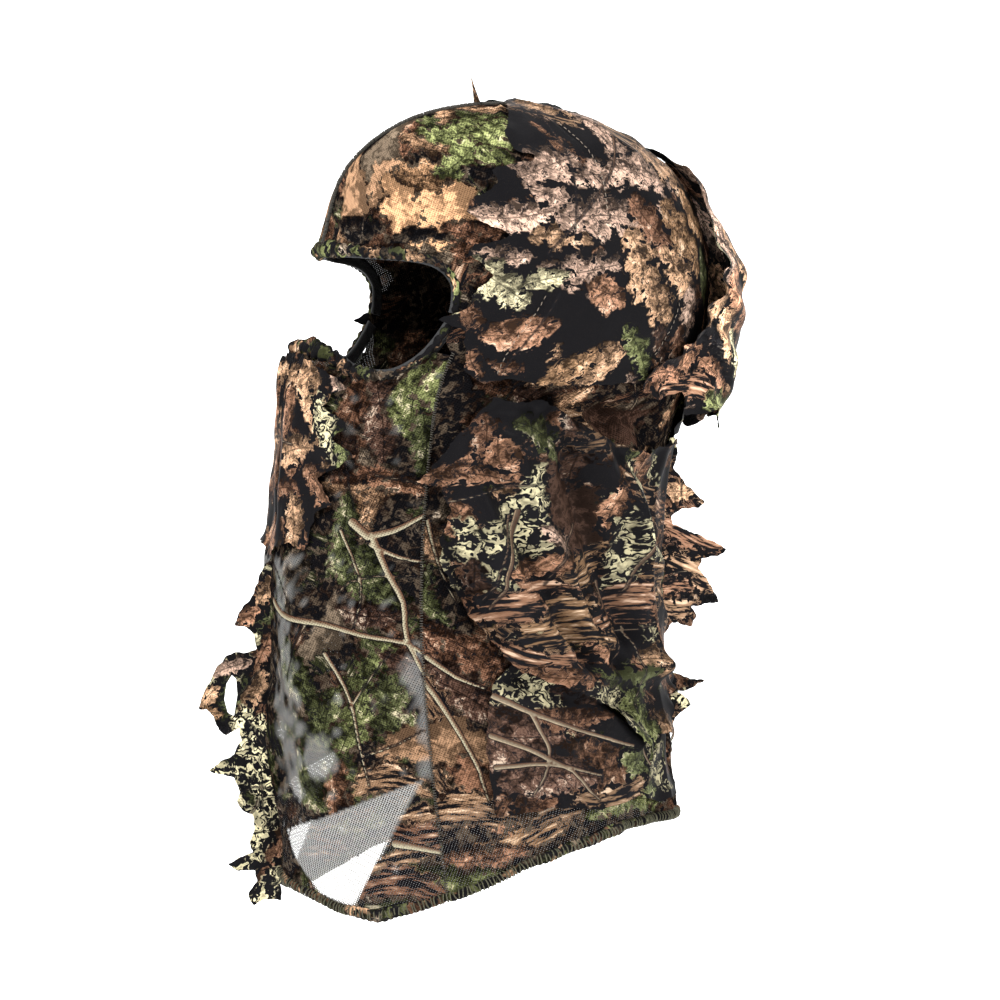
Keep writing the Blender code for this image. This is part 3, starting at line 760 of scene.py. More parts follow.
def roll(name, line, radius, material, wide=1.0, pucker=0.25, period=5.0, seed=1, lift=0.4, profile=steady):
    """A gathered or bound edge: a soft roll along a line of places, with puckers across it."""
    path = smooth([(a * MM_PER_DEGREE, f) for a, f in line], 0.9)
    angle, fall = path[:, 0] / MM_PER_DEGREE, path[:, 1]
    centre = on_hood(angle, fall, lift + relief(angle, fall)) * 1000
    out = outward_at(angle, fall)
    side, run = path_frame(centre, out)
    side /= np.linalg.norm(side, axis=1, keepdims=True)
    sides = 20
    turn = np.arange(sides) * 2 * np.pi / sides
    rng = np.random.default_rng(seed)
    wander = 2.2 * np.sin(run / 11 + rng.uniform(0, 6)) + 1.4 * np.sin(run / 5.3)
    size = 1 + 0.18 * np.sin(run / 17 + seed) + 0.1 * np.sin(run / 7.1)
    phase = 2 * np.pi * run[:, None] / period + wander[:, None] + 0.9 * np.sin(turn[None] + run[:, None] / 13)
    ring = radius * size[:, None] * (1 + pucker * (np.abs(np.sin(phase / 2)) * 2 - 1.1))
    ring = ring * (1 + 0.10 * np.sin(3 * turn[None] + run[:, None] / 4))
    ends = np.minimum(1, np.minimum(run, run[-1] - run) / (radius * 0.8) + 0.05) ** 0.5
    ring = ring * (ends * profile(angle))[:, None]
    points = (
        centre[:, None]
        + side[:, None] * (ring * np.cos(turn) * wide)[..., None]
        + out[:, None] * (ring * np.sin(turn))[..., None]
    )
    obj = tube(name, points, centre[0], material)
    picture = Print(np.repeat(run, sides), np.tile(turn * radius, len(run)) + 30 * seed)
    paint_edge(picture, seed)
    picture.write(obj.data)
    return obj


def band(name, line, lift, width, material, ribs=1.6):
    """The flat elastic inside a gathered edge, with its cross ribs."""
    path = smooth([(a * MM_PER_DEGREE, f) for a, f in line], 0.8)
    angle, fall = path[:, 0] / MM_PER_DEGREE, path[:, 1]
    middle = on_hood(angle, fall, lift) * 1000
    out = outward_at(angle, fall)
    side, run = path_frame(middle, out)
    rib = 0.12 * np.sin(2 * np.pi * run / ribs)[:, None]
    across = (-0.5, -0.25, 0, 0.25, 0.5)
    corners = [(w, -0.5) for w in across] + [(w, 0.5) for w in reversed(across)]
    rows = [middle + side * (w * width) + out * (h * (1.0 + rib)) for w, h in corners]
    return tube(name, np.stack(rows, 1), middle[0], material)


# ---------------------------------------------------------------- stitches

def stitch_tree():
    """Geometry Nodes: thread stitches at equal steps along a line. Loops go round it, dashes along it."""
    tree = bpy.data.node_groups.new("stitches", "GeometryNodeTree")
    face = tree.interface
    face.new_socket("Geometry", in_out="INPUT", socket_type="NodeSocketGeometry")
    for name, value in (("Spacing", 0.003), ("Length", 0.002), ("Thread", 0.0003), ("Loop", 0.0)):
        socket = face.new_socket(name, in_out="INPUT", socket_type="NodeSocketFloat")
        socket.default_value = value
    face.new_socket("Seed", in_out="INPUT", socket_type="NodeSocketInt").default_value = 4
    face.new_socket("Material", in_out="INPUT", socket_type="NodeSocketMaterial")
    face.new_socket("Geometry", in_out="OUTPUT", socket_type="NodeSocketGeometry")
    add, link = tree.nodes.new, tree.links.new
    given, out = add("NodeGroupInput"), add("NodeGroupOutput")
    line = add("GeometryNodeMeshToCurve")
    spots = add("GeometryNodeCurveToPoints")
    spots.mode = "LENGTH"
    link(given.outputs["Geometry"], line.inputs[0])
    link(line.outputs[0], spots.inputs["Curve"])
    link(given.outputs["Spacing"], spots.inputs["Length"])
    # A dash is a short capsule, a loop is a ring round the edge.
    dash = add("GeometryNodeMeshUVSphere")
    dash.inputs["Segments"].default_value, dash.inputs["Rings"].default_value = 8, 6
    dash.inputs["Radius"].default_value = 0.5
    scale = add("ShaderNodeCombineXYZ")
    double = add("ShaderNodeMath")
    double.operation = "MULTIPLY"
    double.inputs[1].default_value = 2.0
    link(given.outputs["Thread"], double.inputs[0])
    link(double.outputs[0], scale.inputs[0])
    link(double.outputs[0], scale.inputs[1])
    link(given.outputs["Length"], scale.inputs[2])
    stretched = add("GeometryNodeTransform")
    link(dash.outputs["Mesh"], stretched.inputs["Geometry"])
    link(scale.outputs[0], stretched.inputs["Scale"])
    ring, wire = add("GeometryNodeCurvePrimitiveCircle"), add("GeometryNodeCurvePrimitiveCircle")
    swept = add("GeometryNodeCurveToMesh")
    ring.inputs["Resolution"].default_value, wire.inputs["Resolution"].default_value = 18, 6
    link(given.outputs["Loop"], ring.inputs["Radius"])
    link(given.outputs["Thread"], wire.inputs["Radius"])
    link(ring.outputs["Curve"], swept.inputs["Curve"])
    link(wire.outputs["Curve"], swept.inputs["Profile Curve"])
    choose, compare = add("GeometryNodeSwitch"), add("FunctionNodeCompare")
    choose.input_type = "GEOMETRY"
    compare.data_type, compare.operation = "FLOAT", "GREATER_THAN"
    link(given.outputs["Loop"], compare.inputs["A"])
    compare.inputs["B"].default_value = 0.00001
    link(compare.outputs[0], choose.inputs["Switch"])
    link(stretched.outputs["Geometry"], choose.inputs["False"])
    link(swept.outputs["Mesh"], choose.inputs["True"])
    place, tilt = add("GeometryNodeInstanceOnPoints"), add("FunctionNodeRandomValue")
    tilt.data_type = "FLOAT_VECTOR"
    tilt.inputs["Min"].default_value, tilt.inputs["Max"].default_value = (-0.28, -0.28, 0.0), (0.28, 0.28, 3.1)
    link(given.outputs["Seed"], tilt.inputs["Seed"])
    turned = add("FunctionNodeRotateRotation")
    turned.rotation_space = "LOCAL"
    link(spots.outputs["Rotation"], turned.inputs[0])
    link(tilt.outputs[0], turned.inputs[1])
    link(spots.outputs["Points"], place.inputs["Points"])
    link(choose.outputs[0], place.inputs["Instance"])
    link(turned.outputs[0], place.inputs["Rotation"])
    real, paint = add("GeometryNodeRealizeInstances"), add("GeometryNodeSetMaterial")
    link(place.outputs[0], real.inputs[0])
    link(real.outputs[0], paint.inputs["Geometry"])
    link(given.outputs["Material"], paint.inputs["Material"])
    link(paint.outputs[0], out.inputs[0])
    return tree


STITCHES = stitch_tree()


def stitched(name, points, material, spacing, length=0.002, thread=0.0003, loop=0.0, seed=4):
    """A row of stitches along points in metres, made by the stitch tree and kept as a plain mesh."""
    mesh = bpy.data.meshes.new(name + "_line")
    mesh.from_pydata([tuple(p) for p in points], [(i, i + 1) for i in range(len(points) - 1)], [])
    guide = bpy.data.objects.new(name + "_line", mesh)
    bpy.context.scene.collection.objects.link(guide)
    rows = guide.modifiers.new("stitches", "NODES")
    rows.node_group = STITCHES
    given = {
        "Spacing": spacing, "Length": length, "Thread": thread, "Loop": loop, "Seed": seed, "Material": material,
    }
    for item in STITCHES.interface.items_tree:
        if item.in_out == "INPUT" and item.name in given:
            rows[item.identifier] = given[item.name]
    bpy.context.view_layer.update()
    graph = bpy.context.evaluated_depsgraph_get()
    made = bpy.data.meshes.new_from_object(guide.evaluated_get(graph))
    bpy.data.objects.remove(guide, do_unlink=True)
    made.name = name
    made.shade_smooth()
    obj = bpy.data.objects.new(name, made)
    bpy.context.scene.collection.objects.link(obj)
    return obj


# ---------------------------------------------------------------- what is printed where

def place_leaves(picture, middle, leaves, side=1):
    for angle, fall, direction, length, width, kind, tint, *shade in leaves:
        u, v = to_flat(side * angle, fall, middle)
        turn = direction if side > 0 else 180 - direction
        picture.leaf(float(u), float(v), turn, length, width, kind, tint, *(shade or [1.0]))


def place_branches(picture, middle, branches, side=1, dark=0.0):
    for points, half in branches:
        picture.branch([tuple(map(float, to_flat(side * a, f, middle))) for a, f in points], half, dark)


SIDE_LEAVES = (
    (100, 40, 20, 60, 20, "streak", "tan"), (92, 28, 60, 30, 14, "oval", "dbrown"),
    (112, 30, 60, 34, 16, "oak", "tan"), (128, 46, 50, 40, 22, "oak", "pink"),
    (118, 66, 70, 34, 20, "oak", "pink"),
    (104, 62, 20, 30, 16, "oval", "dark"), (140, 62, 40, 44, 22, "streak", "tan"),
    (106, 90, 6, 40, 20, "oak", "pink"), (126, 86, 24, 48, 24, "oak", "pink", 1.1),
    (142, 84, 50, 46, 26, "oak", "tan"), (150, 106, 60, 34, 24, "oak", "lichen"),
    (158, 84, 50, 40, 20, "oak", "tan"), (84, 84, -8, 44, 27, "oak", "pink", 1.1),
    (74, 92, 60, 20, 14, "oval", "dark"), (76, 106, 4, 54, 17, "oval", "pink", 1.25),
    (90, 104, 20, 34, 16, "oak", "pink"), (88, 121, 12, 30, 15, "oak", "tan"),
    (104, 113, 12, 56, 27, "oak", "pink"), (122, 112, 34, 42, 22, "oak", "brown", 1.3),
    (136, 118, 40, 48, 28, "oak", "lichen", 0.8), (94, 134, 4, 44, 18, "oak", "pink"),
    (72, 128, 10, 30, 13, "oval", "pink"), (112, 134, 70, 40, 22, "oak", "tan", 1.2),
    (130, 140, 62, 40, 20, "oak", "tan", 1.2), (70, 144, 20, 40, 20, "oak", "pale"),
    (84, 141, -30, 22, 12, "oval", "pale", 1.1), (62, 150, 60, 26, 12, "oak", "pale", 0.7),
    (103, 148, 8, 24, 20, "oval", "rust", 1.3), (122, 152, 80, 40, 20, "oak", "tan", 1.15),
    (138, 158, 70, 30, 20, "oak", "pink"), (80, 166, -16, 36, 22, "oval", "rust", 1.35),
    (66, 160, 40, 22, 10, "oval", "rust"), (108, 184, -62, 34, 22, "oval", "tan", 1.15),
    (98, 186, -34, 30, 16, "oval", "lichen", 1.1), (118, 180, 62, 40, 13, "oak", "green"),
    (72, 184, 60, 20, 9, "oval", "rust"), (82, 188, 30, 24, 8, "oval", "brown"),
    (128, 176, 62, 34, 14, "oval", "dbrown"), (140, 178, 60, 34, 16, "oak", "brown"),
    (150, 140, 70, 34, 18, "oval", "moss"), (164, 130, 80, 44, 22, "oak", "brown"),
    (168, 80, 60, 44, 22, "oak", "brown"), (164, 172, 40, 44, 20, "oak", "tan"),
)
SIDE_BRANCHES = (
    (((126, 62), (112, 82), (98, 104), (84, 128)), 0.6),
    (((96, 40), (96, 70), (94, 100), (92, 118)), 0.35),
    (((66, 196), (84, 196), (104, 204), (120, 200)), 0.8),
    (((88, 148), (84, 168), (80, 190)), 0.3),
)
CROWN_LEAVES = (
    (14, 60, 100, 50, 26, "patch", "grey", 1.3), (24, 82, 115, 54, 30, "patch", "grey"),
    (12, 96, 100, 50, 24, "patch", "tan", 0.8), (30, 60, 130, 36, 20, "oak", "brown", 1.2),
    (34, 92, 160, 40, 22, "patch", "tan", 0.8), (22, 112, 10, 40, 14, "oval", "dark"),
    (46, 106, 8, 52, 36, "patch", "lichen", 1.25), (56, 98, 60, 36, 30, "patch", "lichen", 1.2),
    (62, 116, 10, 30, 16, "oak", "brown"), (46, 122, 0, 40, 8, "oval", "dark"),
    (44, 84, 170, 36, 18, "oak", "lichen", 0.9), (40, 66, 190, 34, 16, "oak", "tan", 0.8),
    (48, 58, 200, 36, 22, "oak", "green", 1.3), (58, 46, -10, 34, 22, "oak", "green", 1.1),
    (66, 60, -40, 36, 24, "oak", "green", 1.4), (56, 76, 150, 34, 18, "oak", "green", 1.2),
    (72, 78, 60, 26, 16, "oak", "green", 0.9), (76, 94, 40, 16, 12, "oak", "green"),
    (30, 44, 170, 30, 16, "oak", "green", 0.9), (66, 84, 10, 22, 10, "oval", "dark"),
    (64, 128, 0, 26, 14, "oval", "brown"), (20, 34, 100, 34, 14, "oak", "tan"),
)
VEIL_LEAVES = (
    (48, 214, 70, 50, 22, "oval", "dbrown", 1.3), (38, 212, 95, 44, 16, "oval", "brown", 0.8),
    (36, 232, 100, 36, 18, "oval", "dbrown"), (60, 206, 84, 44, 26, "oval", "green", 0.8),
    (66, 196, 90, 30, 20, "oak", "green"), (62, 228, 100, 36, 16, "oval", "moss"),
    (42, 250, 200, 40, 9, "oval", "tan", 0.8), (46, 256, 150, 40, 8, "oval", "lichen", 0.9),
    (52, 260, 110, 40, 9, "oval", "tan", 0.9), (56, 248, 30, 44, 10, "oval", "rust", 0.9),
    (46, 246, 180, 36, 8, "oval", "brown"), (38, 276, 95, 50, 16, "oval", "moss"),
    (44, 292, 80, 40, 22, "oval", "moss", 1.3), (22, 300, 90, 40, 12, "oval", "grey", 0.6),
    (56, 300, 60, 52, 20, "oak", "moss"), (34, 322, 120, 40, 18, "patch", "grey"),
    (50, 312, 10, 40, 14, "oval", "dbrown"), (24, 345, 60, 44, 22, "oval", "moss"),
    (46, 352, -60, 56, 34, "oak", "green", 0.95), (56, 366, -100, 50, 28, "oak", "moss", 1.1),
    (34, 378, -70, 50, 32, "oak", "moss", 1.3), (42, 372, -80, 40, 20, "oak", "green", 0.8),
    (26, 400, 60, 40, 24, "oval", "moss"), (40, 398, 20, 40, 20, "oak", "moss"),
    (64, 340, 30, 40, 14, "oval", "dbrown"), (60, 384, 0, 36, 18, "patch", "tan", 0.7),
    (52, 402, 0, 40, 16, "streak", "tan"), (50, 418, 4, 60, 18, "streak", "tan"),
    (60, 424, 10, 40, 16, "streak", "brown", 1.4), (46, 440, 4, 56, 16, "streak", "tan"),
    (60, 446, -10, 36, 16, "oak", "green", 0.8), (52, 456, 0, 50, 16, "streak", "brown", 1.4),
    (30, 462, 10, 34, 12, "patch", "grey", 0.8), (36, 404, 90, 30, 12, "oak", "rust", 0.8),
)
VEIL_BRANCHES = (
    (((5, 310), (14, 316), (33, 320), (47, 325), (60, 328), (66, 335), (74, 346)), 1.8),
    (((44, 268), (49, 275), (56, 272), (66, 263)), 2.2), (((50, 279), (58, 285), (70, 289)), 1.2),
    (((50, 274), (55, 292), (60, 308), (61, 326), (67, 352), (73, 384)), 1.5),
    (((34, 335), (42, 357), (44, 378), (46, 402)), 1.1), (((42, 362), (50, 345), (56, 334)), 0.7),
    (((30, 318), (24, 330), (18, 350)), 0.5), (((40, 272), (47, 300), (44, 322)), 0.9),
    (((52, 431), (60, 433), (70, 437)), 2.0), (((46, 386), (56, 380), (64, 372)), 0.6),
)
# The dark and dark brown leaves at falls 212 to 216 lie just below the side leaf's lower edge and are painted shade
# under that overhanging edge.
HOOD_LEAVES = (
    (72, 214, 80, 44, 24, "oval", "dark"), (80, 222, 20, 30, 14, "oval", "brown"),
    (70, 330, 40, 50, 22, "oak", "brown"), (74, 356, 20, 54, 24, "oval", "dbrown", 1.3),
    (80, 340, 50, 40, 20, "oak", "brown"), (68, 360, 80, 40, 16, "streak", "tan", 0.8),
    (70, 384, 0, 44, 24, "patch", "tan", 0.7), (66, 405, 80, 40, 20, "streak", "tan", 0.8),
    (78, 398, 60, 30, 16, "patch", "rust", 0.8), (72, 418, 6, 52, 18, "streak", "tan"),
    (90, 426, -8, 60, 14, "streak", "lichen"), (76, 436, 4, 50, 12, "oak", "rust"),
    (70, 446, -10, 50, 14, "oak", "green", 0.8), (106, 420, -6, 60, 14, "streak", "tan", 0.8),
    (124, 420, 0, 60, 14, "oak", "green", 0.8), (66, 300, 60, 50, 14, "oval", "moss"),
    (110, 214, 10, 50, 18, "streak", "tan", 0.8), (96, 212, 20, 40, 16, "oval", "dbrown"),
    (128, 216, 10, 50, 20, "patch", "dbrown"), (146, 60, 60, 50, 24, "oak", "tan"),
    (150, 110, 70, 50, 26, "oak", "lichen", 0.8),
)
HOOD_BRANCHES = (
    (((66, 335), (74, 346), (82, 352)), 1.4), (((64, 345), (70, 362), (76, 385), (80, 410)), 1.5),
    (((66, 266), (70, 290), (76, 312)), 0.9),
)
# The first entry, a large dark brown patch, is painted shade in the deep recess between the neck folds.
NECK_LEAVES = (
    (108, 262, 80, 60, 32, "patch", "dbrown", 0.9), (140, 246, 60, 40, 24, "oak", "rust"),
    (78, 226, 70, 30, 14, "oval", "brown"), (96, 226, 20, 40, 18, "oak", "moss"),
    (106, 232, 70, 40, 18, "oval", "dbrown"), (119, 228, 0, 50, 14, "streak", "tan", 0.7),
    (86, 237, 66, 34, 15, "oval", "rust", 1.3), (74, 247, 6, 46, 12, "oval", "rust"),
    (90, 258, 14, 30, 10, "oval", "tan"), (74, 269, 70, 26, 14, "oval", "rust", 1.2),
    (68, 286, 80, 40, 14, "bark", "pale", 0.8), (80, 284, 80, 40, 16, "bark", "pale"),
    (96, 266, 85, 56, 20, "bark", "pale"), (88, 288, 80, 44, 16, "bark", "pale", 0.9),
    (101, 278, 50, 24, 10, "oval", "pink"), (78, 300, 100, 30, 12, "oak", "dbrown"),
    (100, 296, 12, 40, 22, "oak", "rust", 1.3), (112, 294, -8, 40, 20, "streak", "lichen"),
    (88, 312, 30, 40, 16, "oak", "brown"), (96, 314, 6, 60, 22, "streak", "rust", 1.5),
    (108, 326, -6, 62, 28, "streak", "lichen", 1.1), (98, 336, 16, 50, 16, "streak", "rust", 1.3),
    (121, 262, 84, 30, 11, "oval", "rust", 1.4), (130, 268, 88, 60, 20, "bark", "pale", 1.1),
    (140, 286, 82, 56, 20, "bark", "pale"), (124, 292, 88, 50, 15, "bark", "pale", 0.9),
    (148, 262, 30, 50, 20, "streak", "tan"), (150, 300, -10, 60, 28, "streak", "lichen"),
    (130, 318, 0, 50, 22, "streak", "rust", 1.3), (142, 330, 70, 40, 14, "oval", "rust"),
    (122, 352, 10, 50, 22, "patch", "moss", 1.3), (114, 350, 30, 36, 12, "oak", "green", 0.7),
    (104, 350, 24, 44, 12, "oak", "rust"), (120, 370, 50, 46, 16, "bark", "pale", 0.9),
    (134, 372, 60, 40, 15, "oak", "green"), (128, 386, 60, 24, 12, "oak", "green"),
    (150, 345, 60, 44, 18, "oak", "brown"), (164, 262, 10, 44, 18, "streak", "rust"),
    (164, 310, 20, 44, 18, "streak", "tan"), (162, 340, 20, 44, 18, "oak", "rust"),
)
NECK_BRANCHES = (
    (((90, 262), (88, 288), (84, 312)), 1.2), (((88, 264), (86, 288), (82, 308)), 0.6),
    (((136, 251), (133, 280), (128, 308)), 1.1), (((110, 270), (103, 284), (99, 300)), 0.6),
    (((122, 300), (126, 330), (120, 356)), 0.7),
)
SHOULDER_LEAVES = (
    (92, 372, 10, 66, 40, "oval", "dbrown", 1.5), (112, 392, -10, 60, 36, "oval", "rust", 0.55),
    (98, 402, 6, 56, 24, "oval", "dbrown", 1.6), (88, 352, 30, 44, 18, "bark", "pale", 0.7),
    (100, 360, 40, 40, 18, "bark", "pale", 0.8), (130, 398, 40, 40, 20, "oak", "moss", 1.5),
    (122, 372, 60, 40, 20, "oval", "dark"), (142, 396, 60, 44, 18, "bark", "pale", 0.6),
    (106, 366, 10, 44, 14, "oval", "brown", 0.8), (130, 376, 50, 36, 10, "oak", "green"),
    (118, 408, 4, 50, 12, "streak", "tan", 0.8),
)
SHOULDER_BRANCHES = (
    (((82, 376), (92, 384), (104, 396), (112, 412)), 1.5), (((84, 356), (100, 370), (124, 386)), 1.6),
    (((82, 392), (98, 392), (114, 400)), 1.3), (((94, 366), (98, 392), (92, 408)), 1.1),
    (((110, 356), (124, 370), (134, 398)), 1.5),
)
FLAP_LEAVES = (
    (174, 88, 80, 30, 12, "oval", "brown"), (160, 88, 70, 30, 16, "oak", "pink"),
    (160, 108, 80, 30, 20, "oak", "pink", 1.2),
    (156, 126, 90, 34, 18, "oak", "pink", 1.2), (150, 122, 80, 24, 10, "oval", "pale"),
    (166, 128, 80, 30, 18, "oak", "tan"),
    (158, 146, 90, 26, 18, "oval", "rust", 1.4), (148, 146, 60, 24, 12, "oval", "tan"),
    (166, 156, 80, 30, 14, "oak", "brown"), (156, 168, 75, 34, 16, "oval", "tan", 1.3),
    (146, 170, 60, 30, 12, "oval", "dark"), (166, 180, 80, 36, 12, "oak", "pale", 0.9),
    (150, 186, 20, 50, 12, "oval", "rust", 1.2), (138, 188, -20, 40, 14, "oval", "rust", 1.2),
    (144, 200, 6, 44, 14, "streak", "rust", 1.3), (160, 200, 10, 34, 14, "oak", "green"),
    (132, 192, 0, 26, 10, "oval", "brown", 1.4), (174, 150, 80, 40, 20, "oak", "tan"),
    (174, 190, 60, 34, 18, "oak", "brown"), (176, 114, 80, 34, 18, "oak", "pink"),
)
CHIN_LEAVES = (
    (12, 190, 10, 40, 16, "oval", "tan"), (22, 203, 75, 48, 20, "oval", "tan", 1.2),
    (10, 212, 95, 34, 18, "oval", "rust", 1.2), (35, 197, 45, 24, 12, "oval", "pink"),
    (33, 220, 80, 40, 15, "bark", "pale"), (16, 233, 5, 40, 18, "oval", "tan", 1.1),
    (24, 240, 150, 24, 12, "oval", "dark"), (30, 252, 50, 34, 15, "oak", "rust"),
    (14, 255, 0, 36, 12, "oval", "brown"), (20, 270, 70, 34, 15, "oval", "tan"),
    (8, 276, 60, 30, 14, "oval", "rust"), (4, 240, 90, 30, 14, "oval", "brown"),
    (38, 232, 70, 26, 10, "oak", "green"),
)
SPINE_LEAVES = (
    (6, 226, 0, 18, 12, "patch", "pale"), (8, 240, 60, 22, 12, "oval", "tan", 1.2),
    (4, 250, 80, 26, 8, "oval", "rust"),
    (20, 253, 4, 34, 13, "oval", "tan", 1.4), (8, 262, 20, 26, 9, "oval", "rust"),
    (14, 275, 30, 44, 14, "streak", "tan", 1.1), (28, 281, 8, 40, 16, "streak", "rust", 1.4),
    (14, 294, -10, 40, 16, "streak", "lichen", 1.2), (28, 304, 8, 46, 18, "streak", "tan", 1.2),
    (12, 312, -6, 34, 14, "streak", "rust", 1.4), (18, 320, 16, 30, 12, "streak", "tan"),
    (4, 338, 85, 34, 9, "oval", "rust", 1.2), (14, 356, 6, 34, 9, "oak", "moss", 1.4),
    (12, 371, 30, 24, 9, "bark", "pale"), (5, 392, 85, 34, 8, "oak", "rust"),
)
FRONT_LEAVES = (
    (5, 308, 80, 30, 9, "oval", "tan"), (14, 321, 20, 24, 10, "oval", "rust", 1.3),
    (6, 338, 80, 26, 9, "oval", "rust"),
    (22, 344, 30, 26, 10, "oval", "pink"), (36, 362, 50, 26, 12, "oval", "tan", 1.2),
    (34, 368, 0, 22, 8, "oval", "lichen"),
    (24, 376, 60, 18, 7, "oval", "dark"), (10, 360, 80, 36, 12, "oval", "tan"),
    (10, 384, 84, 40, 22, "bark", "pale", 1.1), (22, 396, 4, 34, 12, "bark", "pale"),
    (8, 412, 84, 40, 16, "bark", "pale", 1.1),
    (10, 428, 70, 34, 16, "bark", "pale"), (20, 443, 10, 30, 11, "bark", "pale"),
    (6, 446, 80, 40, 12, "oak", "rust"),
    (10, 460, 40, 28, 12, "bark", "pale"),
)


def paint_side(side):
    def paint(p, middle):
        p.scatter(21 + side, 60, ("tan", "brown", "pink", "rust"), (10, 26))
        place_leaves(p, middle, SIDE_LEAVES, side)
        p.gain *= 0.92
        place_branches(p, middle, SIDE_BRANCHES, side, 1.0)
    return paint


def paint_hood(side):
    def paint(p, middle):
        tints = ("brown", "brown", "moss", "tan", "grey", "rust")
        p.scatter(31 + side, 420, tints, (14, 34), ("oval", "oak", "streak"), (0.5, 1.2))
        place_leaves(p, middle, CROWN_LEAVES, side)
        place_leaves(p, middle, HOOD_LEAVES, side)
        p.gain = np.where(p.v < 130, 1.2, 1.0)
        place_branches(p, middle, HOOD_BRANCHES, side)
        p.twigs(32 + side, 10)
    return paint


def paint_veil(p, middle):
    p.scatter(41, 260, ("brown", "moss", "moss", "dark", "grey"), (14, 34), ("oval", "oak", "streak"), (0.5, 1.1))
    for side in (-1, 1):
        place_leaves(p, middle, VEIL_LEAVES, side)
        place_branches(p, middle, VEIL_BRANCHES, side)
    p.twigs(42, 8, half=(0.3, 0.6))
    angle, fall = from_flat(p.u, p.v, middle)
    around = np.abs(angle)
    corners = [(8, 429), (30, 419), (62, 398), (50, 430), (37, 464), (24, 462)]
    loop = resample([(a * MM_PER_DEGREE, f) for a, f in corners], 1.0)[0]
    x = around * MM_PER_DEGREE
    depth = edge_distance(x, fall, loop) * np.where(inside(x, fall, loop), 1, -1)
    triangle = np.clip(depth / 1.0, 0, 1)
    ragged = waves(p.u, p.v, 16, 43) + 0.5 * waves(p.u, p.v, 6, 44)
    stripe = np.exp(-(((around - 15) / 8) ** 2))
    stripe = stripe * np.clip((fall - 283) / 6, 0, 1) * np.clip((420 - fall) / 12, 0, 1)
    pale = np.clip((stripe - 0.42 + 0.45 * ragged) / 0.6, 0, 1) * 0.42
    spots = 0
    for a, f, ru, rv in ((64, 345, 9, 15), (66, 372, 7, 10), (66, 392, 8, 6), (30, 388, 10, 12)):
        off = ((around - a) * MM_PER_DEGREE / ru) ** 2
        spots = spots + np.clip(1.3 - off - ((fall - f) / rv) ** 2 + 0.4 * ragged, 0, 1)
    on_twig = np.clip((p.twig + 0.6) / 0.6, 0, 1)
    p.bare = np.clip(np.maximum(np.maximum(triangle, pale), np.clip(spots * 0.5, 0, 0.4)) - on_twig, 0, 1)


def paint_neck(side):
    def paint(p, middle):
        p.scatter(51 + side, 160, ("rust", "brown", "moss", "tan"), (12, 30), ("oval", "oak", "streak"))
        p.scatter(56 + side, 12, ("pale",), (20, 40), ("bark",))
        place_leaves(p, middle, NECK_LEAVES, side)
        place_branches(p, middle, NECK_BRANCHES, side, 0.8)
        p.twigs(52 + side, 8, half=(0.3, 0.6))
        # The neck's print is darkened, partly for its darker print and partly as painted shade for its deep folds.
        p.gain *= 0.84
    return paint


def paint_shoulder(side):
    def paint(p, middle):
        p.scatter(58 + side, 60, ("brown", "dbrown", "moss", "dark"), (14, 30))
        place_leaves(p, middle, SHOULDER_LEAVES, side)
        place_branches(p, middle, SHOULDER_BRANCHES, side, 0.45)
    return paint


def paint_flap(p, middle):
    p.scatter(61, 110, ("tan", "brown", "pink", "rust", "dark"), (12, 28))
    place_leaves(p, middle, FLAP_LEAVES)
    place_leaves(p, middle, [(360 - a, f, 180 - d, *rest) for a, f, d, *rest in FLAP_LEAVES])
    p.twigs(62, 4)
    # Painted light: the flap's print is brightened to stand in for the light falling on the back of the hood.
    p.gain *= 1.45


def paint_chin(p, middle):
    p.scatter(71, 70, ("tan", "brown", "rust", "dark"), (10, 24))
    for side in (-1, 1):
        place_leaves(p, middle, CHIN_LEAVES, side)
    p.twigs(72, 3, half=(0.3, 0.6))


def paint_strip(p, middle):
    p.scatter(81, 60, ("moss", "pale", "brown"), (12, 30), ("oval", "bark"))
    for leaf in FRONT_LEAVES:
        p.leaf(*leaf)
    p.twigs(83, 8, (14, 40), (0.3, 0.6), 0.3)
    p.gain *= 1.25


def paint_spine(p, middle):
    p.scatter(91, 60, ("rust", "tan", "brown"), (12, 30), ("oval", "streak"))
    for leaf in SPINE_LEAVES:
        p.leaf(*leaf)
    p.twigs(92, 4, (20, 40), (0.3, 0.6))
    p.gain *= 1.35


def paint_small(p, middle):
    p.scatter(95, 20, ("moss", "green", "pale", "brown"), (10, 22))
    p.twigs(96, 3, (10, 20), (0.3, 0.5))


def paint_edge(p, seed):
    tints = ("moss", "green", "brown", "tan", "grey")
    p.scatter(100 + int(seed), 160, tints, (6, 18), ("oval", "patch"), (0.5, 1.3))


# ---------------------------------------------------------------- outlines

SIDE_LEAF = (
    (82, 6), (78, 25), (76, 50), (73, 66), (76, 74), (83, 77), (82, 80), (75, 82), (68, 86), (70, 93), (66, 97),
    (61, 101), (60.6, 107), (64, 112), (70, 116), (73, 119), (70, 122), (63, 123), (61.5, 129), (66, 134),
    (69, 139), (66, 144), (63.5, 149), (64, 155), (60, 158), (56, 162), (61, 165), (65, 168), (67, 176),
    (69, 184), (70, 190), (75, 196), (84, 194), (92, 198), (105, 198), (120, 196), (131, 199), (140, 193),
    (155, 197), (170, 192), (179.5, 190), (179.5, 60), (179, 20), (176, 6),
)
NECK_LEAF = (
    (79, 203), (75, 213), (70, 228), (66, 240), (62, 247), (69, 251), (72, 262), (69.5, 276), (70, 290),
    (78, 315), (84, 330), (90, 342), (105, 355), (117, 367), (125, 386), (129, 396), (137, 382), (143, 384),
    (147, 392), (152, 368), (160, 360), (164, 370), (172, 348), (176, 300), (176, 231), (163, 226), (150, 230),
    (135, 233), (122, 228), (112, 222), (103, 212), (95, 205), (87, 206),
)
